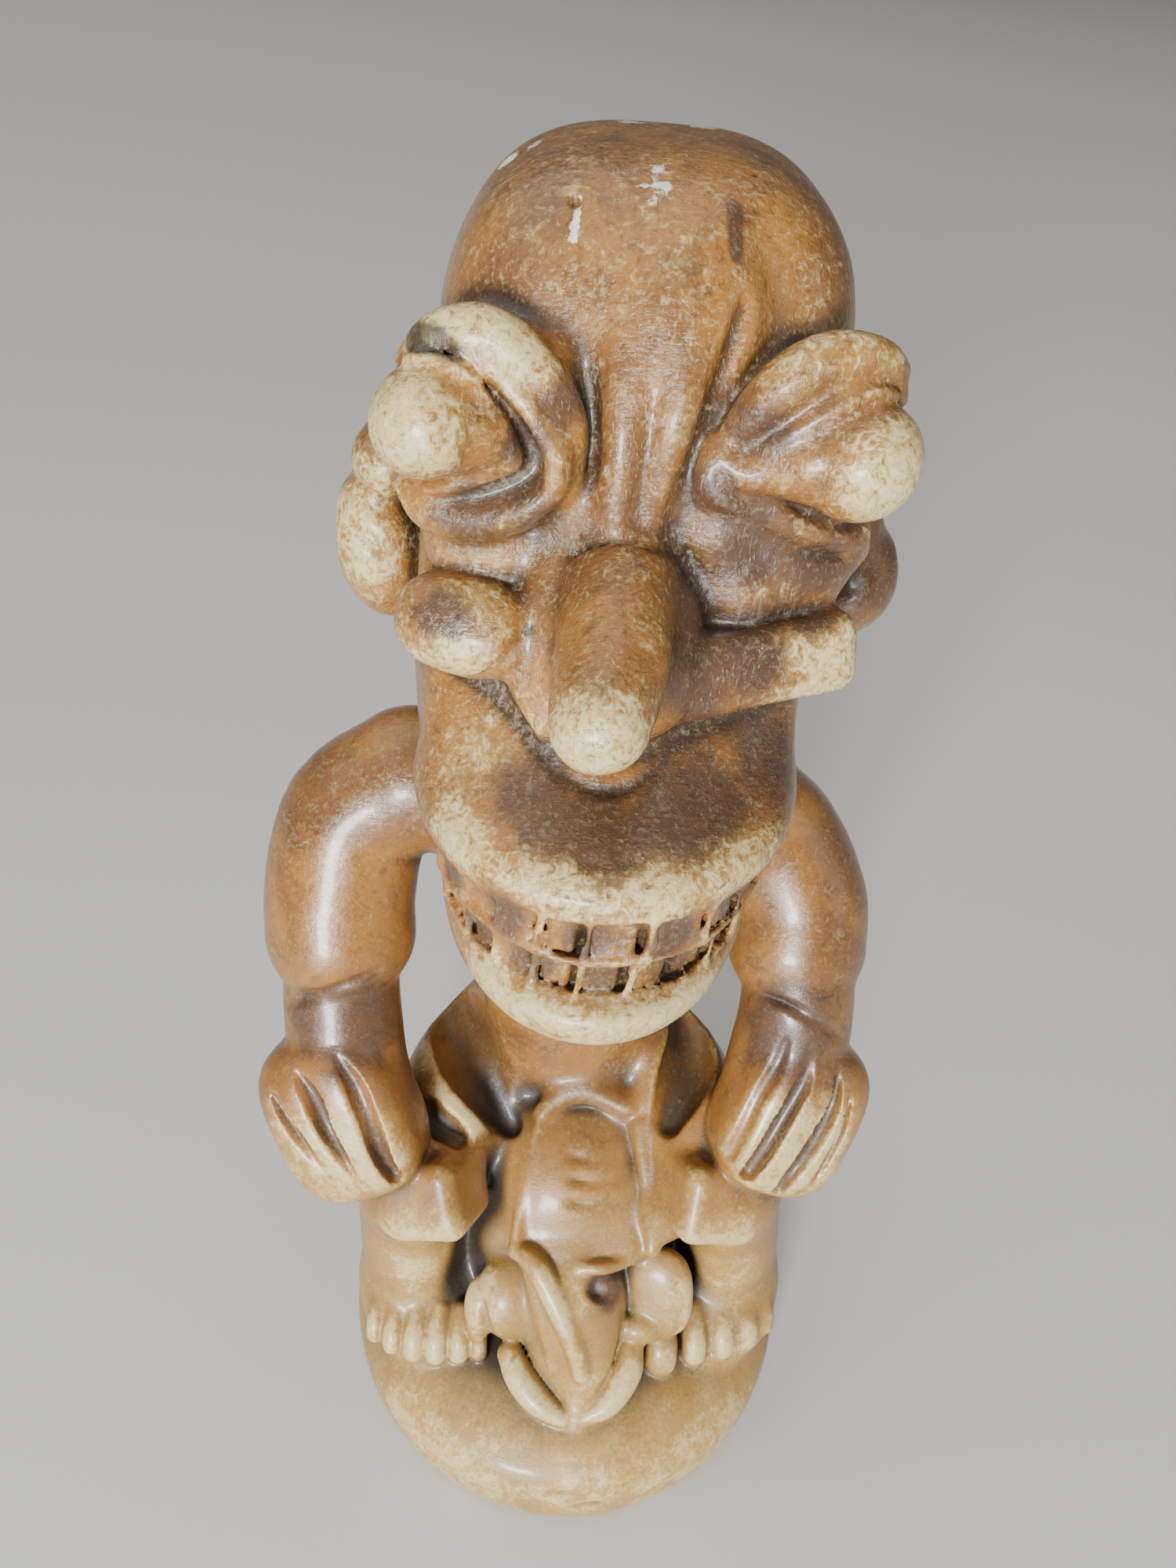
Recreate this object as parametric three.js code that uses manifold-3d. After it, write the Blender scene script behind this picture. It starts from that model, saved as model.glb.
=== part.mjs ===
// A rider on an elephant, carved from one block of soapstone, in millimetres.
// The rider faces -Y and +Z is up. The figure stands on the flat underside of its round base.
// Forms are laid out about the middle of the base, then bent by the slight sway of the hand carving
// and shifted so that the origin is the middle of the underside of the whole figure's box.

import * as THREE from 'three';
import { mergeVertices } from 'three/addons/utils/BufferGeometryUtils.js';
import Module from 'manifold-3d';

const wasm = await Module();
wasm.setup();

// Driving sizes of the whole figure
const HEIGHT = 193.6;
const BASE_RADIUS = 37.4;
const BASE_TOP = 20.5;
const SEAT = 58;
const SHOULDER = 108;
const EYE_LEVEL = 174;
const RIM_LEVEL = 138;
const SWAY = 2.9;
const SWAY_FOOT = 25;
const SWAY_HEAD = 185;

// The mouth: an overhanging lip over two rows of teeth and a chin rim, all on one oval
const MOUTH_Y = -8;
const LIP = { rx: 20.3, ry: 22.3 };
const GUM = { rx: 16.3, ry: 20.3, low: 125.5, high: 136.5 };
const CHIN = { rx: 17, ry: 24 };
const TEETH = { count: 9, sweep: 2.5, proud: 1.3, gap: 0.9 };

const HAND = { radii: [12, 8.4, 13.2], lean: 26, square: 2.5 };
const FINGER = { grooves: 3, pitch: 5.8, sunk: 1.3 };
const TOES = 5;

// A closed mesh with shared corners becomes a solid
function solid(geometry) {
  const shape = geometry.clone();
  shape.deleteAttribute('normal');
  shape.deleteAttribute('uv');
  const merged = mergeVertices(shape, 1e-4);
  const index = merged.index.array;
  const corners = [];
  for (let i = 0; i < index.length; i += 3) {
    const [a, b, c] = [index[i], index[i + 1], index[i + 2]];
    if (a !== b && b !== c && c !== a) corners.push(a, b, c);
  }
  return new wasm.Manifold(new wasm.Mesh({
    numProp: 3,
    vertProperties: Float32Array.from(merged.attributes.position.array),
    triVerts: Uint32Array.from(corners),
  }));
}

function moveVertices(geometry, place) {
  const position = geometry.attributes.position;
  const v = new THREE.Vector3();
  for (let i = 0; i < position.count; i += 1) {
    v.fromBufferAttribute(position, i);
    place(v);
    position.setXYZ(i, v.x, v.y, v.z);
  }
  return geometry;
}

// An ellipsoid about a centre, turned by degrees about x, y and z; square above 2 makes it boxier
function blob(centre, radii, { turn = [0, 0, 0], around = 9, rings = 6, square = 2 } = {}) {
  const geometry = new THREE.SphereGeometry(1, around, rings);
  geometry.rotateX(Math.PI / 2);
  moveVertices(geometry, (v) => {
    const sum = Math.abs(v.x) ** square + Math.abs(v.y) ** square + Math.abs(v.z) ** square;
    v.multiplyScalar(sum ** (-1 / square));
  });
  geometry.scale(...radii);
  geometry.rotateX(THREE.MathUtils.degToRad(turn[0]));
  geometry.rotateY(THREE.MathUtils.degToRad(turn[1]));
  geometry.rotateZ(THREE.MathUtils.degToRad(turn[2]));
  geometry.translate(...centre);
  return solid(geometry);
}

// A round-ended limb through stations [x, y, z, radius], never running along the reference axis
function limb(stations, { around = 8, rings = 2, cap = 2, along = [1, 0, 0] } = {}) {
  const path = new THREE.CatmullRomCurve3(stations.map(([x, y, z]) => new THREE.Vector3(x, y, z)));
  const spans = stations.length - 1;
  const reference = new THREE.Vector3(...along);
  const geometry = new THREE.CapsuleGeometry(1, 1, cap, around, spans * rings);
  moveVertices(geometry, (v) => {
    const t = THREE.MathUtils.clamp(v.y + 0.5, 0, 1);
    const beyond = v.y + 0.5 - t;
    const span = Math.min(Math.floor(t * spans), spans - 1);
    const radius = THREE.MathUtils.lerp(stations[span][3], stations[span + 1][3], t * spans - span);
    const ahead = path.getTangent(t);
    const across = new THREE.Vector3().crossVectors(reference, ahead).normalize();
    const other = new THREE.Vector3().crossVectors(across, ahead);
    const { x, z } = v;
    v.copy(path.getPoint(t)).addScaledVector(ahead, beyond * radius);
    v.addScaledVector(across, x * radius).addScaledVector(other, z * radius);
  });
  return solid(geometry);
}

// A turned form on oval sections: levels [z, middle y, half width, half depth], from the bottom up
function stack(levels, { around = 20, square = 2 } = {}) {
  const [first, last] = [levels[0], levels[levels.length - 1]];
  const closed = [[first[0], first[1], 0, 0], ...levels, [last[0], last[1], 0, 0]];
  const profile = closed.map(([, , rx], i) => new THREE.Vector2(rx > 0 ? 1 : 0, i));
  const geometry = new THREE.LatheGeometry(profile, around);
  moveVertices(geometry, (v) => {
    const [z, y, rx, ry] = closed[Math.round(v.y)];
    const angle = Math.atan2(v.z, v.x);
    const [c, s] = [Math.cos(angle), Math.sin(angle)];
    const size = (Math.abs(c) ** square + Math.abs(s) ** square) ** (-1 / square);
    v.set(rx * size * c, y - ry * size * s, z);
  });
  return solid(geometry);
}

const join = (parts) => parts.reduce((whole, part) => whole.add(part));
const bothSides = (make) => join([-1, 1].map(make));

function base() {
  const R = BASE_RADIUS;
  return stack([
    [0, 0, R - 4.4, R - 4.4], [2.5, 0, R - 1.2, R - 1.2], [7.5, 0, R, R], [12, 0, R - 0.6, R - 0.6],
    [15.5, 0, R - 2.8, R - 2.8], [18.3, 0, R - 7.5, R - 7.5], [BASE_TOP, 0, R - 16, R - 16],
  ], { around: 32 });
}

// The elephant: barrel, neck and hanging head, trunk, legs, ears, tusks and a tail
function elephant() {
  const trunk = [[-0.5, -9, 33, 8.2], [-0.5, -15, 29, 6], [-0.5, -20.5, 24, 4.8], [-0.5, -24.5, 19, 4.2]];
  const parts = [
    blob([0, 10.5, 38.5], [18, 25, 18.5], { around: 14, rings: 9, square: 2.3 }),
    stack([[BASE_TOP - 4, 9, 15, 21], [30, 9, 14, 20]], { around: 10, square: 3 }),
    limb([[0, 10, 50, 12], [0, 1, 43, 11.5], [0, -5.5, 35.5, 10.5]], { around: 10 }),
    limb(trunk),
    limb([[-2, -12.5, 40, 2.2], [-1, -19.2, 33.4, 2.2], [0, -24.5, 27, 1.6]], { around: 6 }),
    limb([[0, 31, 49, 2.6], [0, 34.8, 39, 2.2], [0, 31.5, 24, 1.8]], { around: 6 }),
    bothSides((side) => join([
      limb([[side * 10, -3, 36, 7], [side * 11.5, -5, 18, 6.5]], { around: 7, rings: 1 }),
      limb([[side * 11, 20, 38, 9], [side * 12.5, 22, 18, 8.4]], { rings: 1 }),
      blob([side * 14.5, -13, 32.5], [4.4, 4.8, 8.4], { turn: [20, side * 12, 0] }),
      limb([[side * 9, -15.5, 29, 3], [side * 7.6, -21.5, 24, 2.7], [side * 3.6, -26.5, 20.6, 2]],
        { around: 6 }),
    ])),
  ];
  return join(parts);
}

// Bow legs astride the elephant, feet flat on the base with toes in a row
function legs() {
  return bothSides((side) => {
    const foot = [side * 24, -8.5, 22];
    const toes = Array.from({ length: TOES }, (_, i) => {
      const t = i / (TOES - 1);
      const r = 2.9 - 0.9 * t;
      return blob([side * (16.6 + 15 * t), -19.6 + 5.2 * t * t, 19.6], [r, r * 1.6, r],
        { turn: [12, 0, side * 18 * t], around: 6, rings: 5 });
    });
    return join([
      limb([[side * 10, 22, SEAT - 1, 11], [side * 18.5, 13, 54, 10.8], [side * 25.5, -4, 43, 10.3]],
        { around: 10 }),
      limb([[side * 25.5, -4, 42, 9.8], [side * 26, -3, 33, 8.2], [side * 25, -4, 24, 7.6]], { rings: 1 }),
      blob(foot, [9, 13, 6.2], { turn: [14, 0, 0], around: 9, rings: 6 }),
      ...toes,
    ]);
  });
}

function torso() {
  return join([
    stack([
      [50, 20, 15, 11], [56, 20.5, 17.5, 13], [66, 21, 16.5, 12.5], [78, 21.5, 15.5, 11.5],
      [90, 22.5, 18, 12], [100, 24, 21, 12], [110, 25, 22, 11.5], [119, 25, 14, 9.5],
    ], { around: 16, square: 2.3 }),
    limb([[-24, 24.5, SHOULDER, 10.4], [0, 25.5, SHOULDER + 2, 10.5], [22, 25, SHOULDER - 3, 10.2]],
      { along: [0, 1, 0] }),
    limb([[0, 24, SHOULDER + 2, 12], [0, 17, SHOULDER + 22, 14]], { rings: 1 }),
  ]);
}

// Each arm runs from the shoulder to the elbow, with a mitten hand lying over the knee
const ARMS = [
  {
    side: -1,
    run: [[24, 24.5, 108, 10.4], [31.8, 22.5, 101.5, 10.8], [34.6, 18.5, 90, 11], [34.6, 12.5, 78, 11.4]],
    palm: [35, -0.5, 62.5],
  },
  {
    side: 1,
    run: [[22, 25, 105, 10.2], [29.6, 24, 98.5, 10.2], [34.4, 20.5, 89.5, 10], [35, 13.5, 78, 10.6]],
    palm: [34.2, 1.5, 62],
  },
];

function arm({ side, run, palm }) {
  const centre = [side * palm[0], palm[1], palm[2]];
  const lean = THREE.MathUtils.degToRad(HAND.lean);
  const turn = [-HAND.lean, side * -4, 0];
  const out = HAND.radii[1] - FINGER.sunk;
  const grooves = Array.from({ length: FINGER.grooves }, (_, i) => {
    const x = side * (palm[0] + (i - (FINGER.grooves - 1) / 2) * FINGER.pitch);
    const middle = [x, palm[1] - out * Math.cos(lean), palm[2] + out * Math.sin(lean)];
    return blob(middle, [0.9, 2.4, 9.5], { turn, around: 4, rings: 4 });
  });
  return join([
    limb(run.map(([x, y, z, r]) => [side * x, y, z, r]), { around: 11 }),
    limb([[side * 34.8, 12, 76, 10.4], [side * palm[0], palm[1] + 3, 66, 9.4]], { around: 11, rings: 1 }),
    blob(centre, HAND.radii, { turn, around: 12, rings: 8, square: HAND.square }),
  ]).subtract(join(grooves));
}

// The long head: dome, face walls, jaw, overhanging lip and chin rim
function head() {
  const y = MOUTH_Y;
  const dome = stack([
    [136, 15, 11, 13], [150, 14, 16.6, 18.6], [162, 13.6, 19.6, 21], [172, 14, 20.2, 21.6],
    [179, 14.4, 19.6, 21], [184, 15, 17.8, 19.4],
    [188, 15.5, 15.4, 17.2], [191.8, 17, 10.6, 12.6], [HEIGHT, 18, 3.6, 4.6],
  ], { square: 2.15 });
  const walls = stack([
    [114, 9, 12, 15], [120, 6, 16.5, 19], [128, 5, 19.5, 21], [138, 4.5, 21.3, 20], [147, 5, 21.8, 18.8],
    [156, 8, 21.5, 18.3], [164, 12, 20.6, 19], [172, 13, 19, 19],
  ], { around: 18, square: 2.5 });
  const lip = stack([
    [130, y, 16.5, 17], [133.5, y, LIP.rx - 1.2, LIP.ry - 1.5], [137, y, LIP.rx, LIP.ry],
    [RIM_LEVEL + 1.6, y, LIP.rx - 0.6, LIP.ry - 0.8], [RIM_LEVEL + 2.8, y, LIP.rx - 3.4, LIP.ry - 4.2],
    [RIM_LEVEL + 5, y + 2, LIP.rx - 4, LIP.ry - 9],
  ]);
  const jaw = stack([
    [112.5, y + 4, 8, 12], [115, y + 1, 13, 19], [118.5, y, 16.2, 23], [122, y, CHIN.rx, CHIN.ry],
    [GUM.low, y, CHIN.rx - 0.6, CHIN.ry - 1], [GUM.low + 0.3, y, GUM.rx, GUM.ry],
    [GUM.high, y, GUM.rx, GUM.ry],
  ]);
  return join([dome, walls, lip, jaw, teeth()]);
}

// Two rows of block teeth round the front of the gum oval
function teeth() {
  const half = (GUM.high - GUM.low) / 2;
  const thick = 2 * TEETH.proud;
  const rows = [];
  for (const [row, step] of [[0, 0.5], [1, 0]]) {
    for (let i = 0; i < TEETH.count; i += 1) {
      const angle = ((i + step) / TEETH.count - 0.5) * TEETH.sweep;
      const [s, c] = [Math.sin(angle), Math.cos(angle)];
      const width = (TEETH.sweep / TEETH.count) * Math.hypot(GUM.rx * c, GUM.ry * s) - TEETH.gap;
      const block = new THREE.BoxGeometry(width, thick, half - TEETH.gap);
      block.rotateZ(Math.atan2(GUM.ry * s, GUM.rx * c));
      block.translate(GUM.rx * s, MOUTH_Y - GUM.ry * c, GUM.low + half * (row + 0.5));
      rows.push(solid(block));
    }
  }
  return join(rows);
}

// Nose like a rod with a ball tip and a flared wing on each side
function nose() {
  return join([
    limb([[-0.5, -5, 164.5, 4.6], [-1.6, -13, 160, 5.2], [-2.6, -20, 157, 4.7],
      [-3.2, -24.5, 154.4, 4.7]], { around: 10 }),
    blob([-1.5, -13, 153], [7.4, 9, 8]),
    limb([[-8, -11, 154, 4], [-14, -12, 156.5, 4.3], [-19, -9, 156, 4]], { along: [0, 1, 0] }),
    limb([[6, -11.5, 154, 4], [13, -11.5, 155, 3.8], [18.5, -8.5, 154.2, 3.4]], { along: [0, 1, 0] }),
  ]);
}

// Bulging eyeballs in thick almond lids, and the folds between the brows
function eyes() {
  const z = EYE_LEVEL;
  const across = { along: [0, 1, 0], around: 6, rings: 1 };
  return join([
    blob([-14.5, -2.5, z - 1], [8.5, 6, 9], { around: 10, rings: 7 }),
    blob([14.2, -2.5, z - 1.5], [8.5, 6, 8.5], { around: 10, rings: 7 }),
    blob([-19.3, -8, z], [5.3, 5.6, 5.3], { around: 10, rings: 7 }),
    blob([18.4, -7, z - 0.8], [5.6, 5.6, 5.4], { around: 10, rings: 7 }),
    limb([[-21.2, -3, z + 4, 2.6], [-18, -5.5, z + 7.6, 3], [-13.5, -6.5, z + 7.4, 3],
      [-10, -6.5, z + 3.6, 2.7], [-8, -5, z - 2, 2.4]], across),
    limb([[-8, -4.5, z - 5, 2.2], [-12, -5.5, z - 8.6, 2.4], [-17.5, -5, z - 8.6, 2.3],
      [-21, -3, z - 6.5, 2]], across),
    limb([[8.2, -5, z - 1.5, 2.2], [9, -6, z + 3, 2.5], [12, -6.4, z + 6.6, 2.6],
      [16.5, -5, z + 7.2, 2.6], [20.4, -2.5, z + 4.5, 2.3]], across),
    limb([[8.6, -4.5, z - 4, 2], [13, -5.5, z - 6.6, 2.2], [18.5, -4, z - 8.2, 2.2]], across),
    limb([[0, 2, z + 8, 4], [-0.3, -3.2, z, 3.6], [-0.3, -4.6, z - 8, 3.2]], { around: 6, rings: 1 }),
  ]);
}

// Ears far back on the sides of the head, an upper and a lower lobe each
function ears() {
  return join([
    blob([-24.4, 17, 158.6], [4.2, 6.4, 5], { turn: [0, 25, 0] }),
    blob([-25.4, 17, 150], [5, 7.6, 7], { turn: [0, -15, 0] }),
    blob([23.4, 17, 154.5], [4.4, 6.2, 5.2], { turn: [0, -25, 0] }),
    blob([27, 17, 147.2], [5.4, 7.4, 5.8], { turn: [0, 15, 0] }),
  ]);
}

// One sideways bow from the base up to the crown, as the block was carved
function sway(z) {
  const t = THREE.MathUtils.clamp((z - SWAY_FOOT) / (SWAY_HEAD - SWAY_FOOT), 0, 1);
  return -SWAY * Math.sin(Math.PI * t);
}

function figureGeometry() {
  const body = join([base(), elephant(), legs(), torso(), ...ARMS.map(arm), head(), nose(), eyes(), ears()]);
  const mesh = body.getMesh();
  const geometry = new THREE.BufferGeometry();
  geometry.setAttribute('position', new THREE.BufferAttribute(Float32Array.from(mesh.vertProperties), 3));
  geometry.setIndex(new THREE.BufferAttribute(Uint32Array.from(mesh.triVerts), 1));
  moveVertices(geometry, (v) => v.setX(v.x + sway(v.z)));
  geometry.computeBoundingBox();
  const middle = geometry.boundingBox.getCenter(new THREE.Vector3());
  geometry.translate(-middle.x, -middle.y, 0);
  geometry.computeVertexNormals();
  return geometry;
}

const soapstone = new THREE.MeshStandardMaterial({ color: 0x9a6b45, roughness: 0.42, metalness: 0 });
const figure = new THREE.Mesh(figureGeometry(), soapstone);
figure.name = 'rider_figure';

const group = new THREE.Group();
group.add(figure);

export default group;
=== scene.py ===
# %% [markdown]
# # A soapstone rider on an elephant
# This lesson carves one stone figure in Blender and lights it for a close look. The figure is a big
# headed rider astride an elephant, on a round puck of a base, all cut from a single block. The packed
# CAD model gives the frame: its box says where the figure stands and how large it may be. We load it
# first and keep it, and hide its solid at the end when the carving takes its place.

import math

import bpy
import numpy as np
from mathutils import Euler, Matrix, Vector


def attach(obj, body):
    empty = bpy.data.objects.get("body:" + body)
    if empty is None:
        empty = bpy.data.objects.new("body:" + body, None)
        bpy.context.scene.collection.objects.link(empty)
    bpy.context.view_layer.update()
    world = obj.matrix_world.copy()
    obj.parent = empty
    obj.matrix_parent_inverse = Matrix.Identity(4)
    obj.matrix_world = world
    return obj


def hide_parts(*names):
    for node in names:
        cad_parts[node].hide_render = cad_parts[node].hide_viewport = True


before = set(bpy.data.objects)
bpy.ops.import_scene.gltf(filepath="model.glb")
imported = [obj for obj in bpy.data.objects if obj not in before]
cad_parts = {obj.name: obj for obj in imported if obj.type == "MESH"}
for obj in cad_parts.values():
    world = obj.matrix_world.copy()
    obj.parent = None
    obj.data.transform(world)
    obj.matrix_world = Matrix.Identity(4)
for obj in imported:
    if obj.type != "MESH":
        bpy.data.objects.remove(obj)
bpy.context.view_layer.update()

MM = 0.001

# %% [markdown]
# ## The camera
# The picture was taken by hand from above and close by, so the head looms and the base shrinks. Such a
# view could be framed by eye with a track-to constraint, but a tilted horizon is easier to keep when the
# camera's own axes are worked out: look down by so much, turn a little, roll a little.

# %% Camera
CAMERA_AT = Vector((-9.05, -106.1, 217.1))
LOOK_DOWN, TURN, ROLL = math.radians(40), math.radians(-4.3), math.radians(4.6)
LENS, SENSOR = 27.04, 36.0


def camera_axes():
    turn = Matrix.Rotation(TURN, 3, "Z")
    ahead = turn @ Vector((0, math.cos(LOOK_DOWN), -math.sin(LOOK_DOWN)))
    right = turn @ Vector((1, 0, 0))
    up = turn @ Vector((0, math.sin(LOOK_DOWN), math.cos(LOOK_DOWN)))
    return (math.cos(ROLL) * right + math.sin(ROLL) * up,
            -math.sin(ROLL) * right + math.cos(ROLL) * up, ahead)


def make_camera():
    data = bpy.data.cameras.new("Camera")
    data.lens, data.sensor_width = LENS, SENSOR
    data.clip_start, data.clip_end = 0.005, 50.0
    camera = bpy.data.objects.new("Camera", data)
    bpy.context.scene.collection.objects.link(camera)
    right, up, ahead = camera_axes()
    axes = Matrix((right, up, -ahead)).transposed()
    camera.matrix_world = Matrix.Translation(CAMERA_AT * MM) @ axes.to_4x4()
    bpy.context.scene.camera = camera
    return camera


print("camera at", tuple(round(v, 4) for v in make_camera().matrix_world.translation))

# %% [markdown]
# ## A block of stone as numbers
# A figure cut from one block has no seams: every limb flows into the next and every groove is cut
# into what is there. Joining meshes leaves hard seams, and sculpting by hand can't be repeated. So the
# block is a grid of numbers instead. Each number is the distance to the surface of the carving, below
# zero inside. To add a form we take the smaller of two distances, to cut one away the larger, and a
# soft minimum leaves the fillet that a rasp and sandpaper leave.

# %% The block
CELL = 0.5
FAR = 9.0
REACH = 6.0


def soft_min(a, b, blend):
    """The smaller of two distances, rounded over where they differ by less than blend."""
    if blend <= 0:
        return np.minimum(a, b)
    overlap = np.maximum(blend - np.abs(a - b), 0)
    return np.minimum(a, b) - overlap * overlap / (4 * blend)


class Block:
    """A grid of distances in millimetres, with x, y and z along its three sides."""

    def __init__(self, low, high, cell):
        self.cell = cell
        self.axes = [np.arange(a, b + cell, cell, dtype=np.float32) for a, b in zip(low, high)]
        self.depth = np.full([len(axis) for axis in self.axes], FAR, np.float32)

    def window(self, low, high, reach):
        cut = tuple(slice(int(np.searchsorted(axis, a - reach)), int(np.searchsorted(axis, b + reach)))
                    for axis, a, b in zip(self.axes, low, high))
        x, y, z = (axis[s] for axis, s in zip(self.axes, cut))
        return cut, (x[:, None, None], y[None, :, None], z[None, None, :])

    def add(self, shape, blend=2.0):
        low, high, distance = shape
        cut, points = self.window(low, high, REACH)
        self.depth[cut] = soft_min(self.depth[cut], distance(*points), blend)

    def cut(self, shape, blend=0.8):
        low, high, distance = shape
        cut, points = self.window(low, high, blend + 1.0)
        self.depth[cut] = -soft_min(-self.depth[cut], distance(*points), blend)


stone = Block((-51.0, -40.0, -1.0), (49.0, 40.0, 196.0), CELL)
print("block of", stone.depth.size, "cells of", CELL, "mm")

# %% [markdown]
# ## Four forms
# Nearly everything on the figure is one of four forms. A `ball` is an egg, turned and made boxier at
# will: eyeballs, feet, the skull. A `limb` is a round rod of changing thickness along a curve: arms,
# eyelids, the trunk. A `pillar` is a stack of ovals with a smooth profile: the base, the jaw, the torso.
# A `slab` is a block with rounded edges: teeth, knees, the elephant's neck. Each gives its own box and a
# function of distance. Limbs are used most, so `rod` adds one to the stone and `gouge` cuts one away.

# %% The tools
def smooth_run(values, at):
    """A smooth curve through rows of numbers, the first of which is the place along the curve."""
    rows = np.array(values, float)
    knots, rows = rows[:, 0], rows[:, 1:]
    slopes = np.gradient(rows, knots, axis=0)
    at = np.clip(at, knots[0], knots[-1])
    k = np.clip(np.searchsorted(knots, at) - 1, 0, len(knots) - 2)
    span = (knots[k + 1] - knots[k])[:, None]
    t = ((at - knots[k])[:, None]) / span
    return ((1 + 2 * t) * (1 - t) ** 2 * rows[k] + t * (1 - t) ** 2 * span * slopes[k]
            + t * t * (3 - 2 * t) * rows[k + 1] + t * t * (t - 1) * span * slopes[k + 1])


def ball(centre, radii, turn=(0, 0, 0), square=2.0):
    """An egg given by half its sizes; it turns in degrees, and a higher square makes it boxier."""
    spin = np.array(Euler([math.radians(a) for a in turn]).to_matrix())
    reach = np.sqrt((spin ** 2) @ (np.array(radii) ** 2)) * (1.0 if square <= 2 else 1.15)
    centre = np.array(centre, float)

    def distance(x, y, z):
        x, y, z = x - centre[0], y - centre[1], z - centre[2]
        total, slope = 0, 0
        for axis, radius in zip(spin.T, radii):
            share = np.abs(axis[0] * x + axis[1] * y + axis[2] * z) / radius + 1e-4
            power = share ** (square - 1) if square != 2 else share
            total = total + power * share
            slope = slope + (power / radius) ** 2
        size = total ** (1 / square)
        return ((size - 1) * size ** (square - 1) / np.sqrt(slope)).astype(np.float32)

    return centre - reach, centre + reach, distance


def limb(stations, steps=5):
    """A round rod along a smooth curve; each station is a place and a radius."""
    rows = np.array(stations, float)
    run = smooth_run(np.column_stack([np.arange(len(rows)), rows]),
                     np.linspace(0, len(rows) - 1, (len(rows) - 1) * steps + 1))
    centres, radii = run[:, :3], run[:, 3]

    def distance(x, y, z):
        best = FAR
        for i in range(len(run) - 1):
            a, along = centres[i], centres[i + 1] - centres[i]
            px, py, pz = x - a[0], y - a[1], z - a[2]
            t = np.clip((px * along[0] + py * along[1] + pz * along[2]) / (along @ along), 0, 1)
            gap = (px - t * along[0]) ** 2 + (py - t * along[1]) ** 2 + (pz - t * along[2]) ** 2
            best = np.minimum(best, np.sqrt(gap) - (radii[i] + t * (radii[i + 1] - radii[i])))
        return best.astype(np.float32)

    return (centres - radii[:, None]).min(0), (centres + radii[:, None]).max(0), distance


def pillar(levels, square=2.0, edge=1.5):
    """Levels are rows of height, middle y, half width and half depth, from the bottom up."""
    rows = np.array(levels, float)
    low = (-rows[:, 2].max(), (rows[:, 1] - rows[:, 3]).min(), rows[0, 0])
    high = (rows[:, 2].max(), (rows[:, 1] + rows[:, 3]).max(), rows[-1, 0])

    def distance(x, y, z):
        heights = z.ravel()
        oval = smooth_run(levels, heights)
        lean = np.gradient(oval[:, 1:].mean(1), heights)
        middle, wide, deep = (oval[:, i].astype(np.float32)[None, None, :] for i in range(3))
        u, v = np.abs(x) / wide + 1e-4, np.abs(y - middle) / deep + 1e-4
        pu, pv = (u, v) if square == 2 else (u ** (square - 1), v ** (square - 1))
        size = (pu * u + pv * v) ** (1 / square)
        side = (size - 1) * size ** (square - 1) / np.sqrt((pu / wide) ** 2 + (pv / deep) ** 2)
        side = side / np.sqrt(1 + lean ** 2).astype(np.float32)[None, None, :]
        ends = np.maximum(rows[0, 0] - z, z - rows[-1, 0])
        return -soft_min(-side, -ends + 0 * side, edge).astype(np.float32)

    return low, high, distance


def slab(centre, half, turn=(0, 0, 0), edge=0.5):
    """A block with rounded edges, given by half its sizes; it turns in radians."""
    spin = np.array(Euler(turn).to_matrix())
    reach = np.abs(spin) @ np.array(half)
    centre = np.array(centre, float)

    def distance(x, y, z):
        x, y, z = x - centre[0], y - centre[1], z - centre[2]
        inside, outside = -FAR, 0
        for axis, size in zip(spin.T, half):
            over = np.abs(axis[0] * x + axis[1] * y + axis[2] * z) - (size - edge)
            inside = np.maximum(inside, over)
            outside = outside + np.maximum(over, 0) ** 2
        return (np.sqrt(outside) + np.minimum(inside, 0) - edge).astype(np.float32)

    return centre - reach, centre + reach, distance


def mirrored(stations, side):
    return [(side * row[0], *row[1:]) for row in stations]


def rod(stations, blend, steps=5):
    stone.add(limb(stations, steps), blend)


def gouge(stations, blend):
    stone.cut(limb(stations), blend)


print("tools: ball, limb, pillar, slab, rod, gouge")

# %% [markdown]
# ## The base and the elephant
# The puck is thick, with a rounded shoulder, and its top runs up to the feet. The elephant is small and
# half hidden: a barrel of a body, a neck like a slanting slab, and a head that hangs down until the trunk
# meets two short tusks on the base. Each part could be a mesh of its own, but then the fillets that a
# chisel leaves between them, where it can't get in, would be missing.

# %% The base
BASE_RADIUS, BASE_TOP = 37.3, 20.5
# at each height, how far the puck stays inside that radius
BASE_PROFILE = ((0, 2.6), (2.5, 0.9), (7.5, 0.05), (12, 0.7), (15.5, 3.2), (18.3, 8.2), (BASE_TOP, 18))


def carve_base():
    radii = [(z, BASE_RADIUS - inset) for z, inset in BASE_PROFILE]
    stone.add(pillar([(z, 0, r, r) for z, r in radii], edge=1.2), 0)


carve_base()
print("base cut, about", round(2 * BASE_RADIUS), "mm across")

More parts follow.
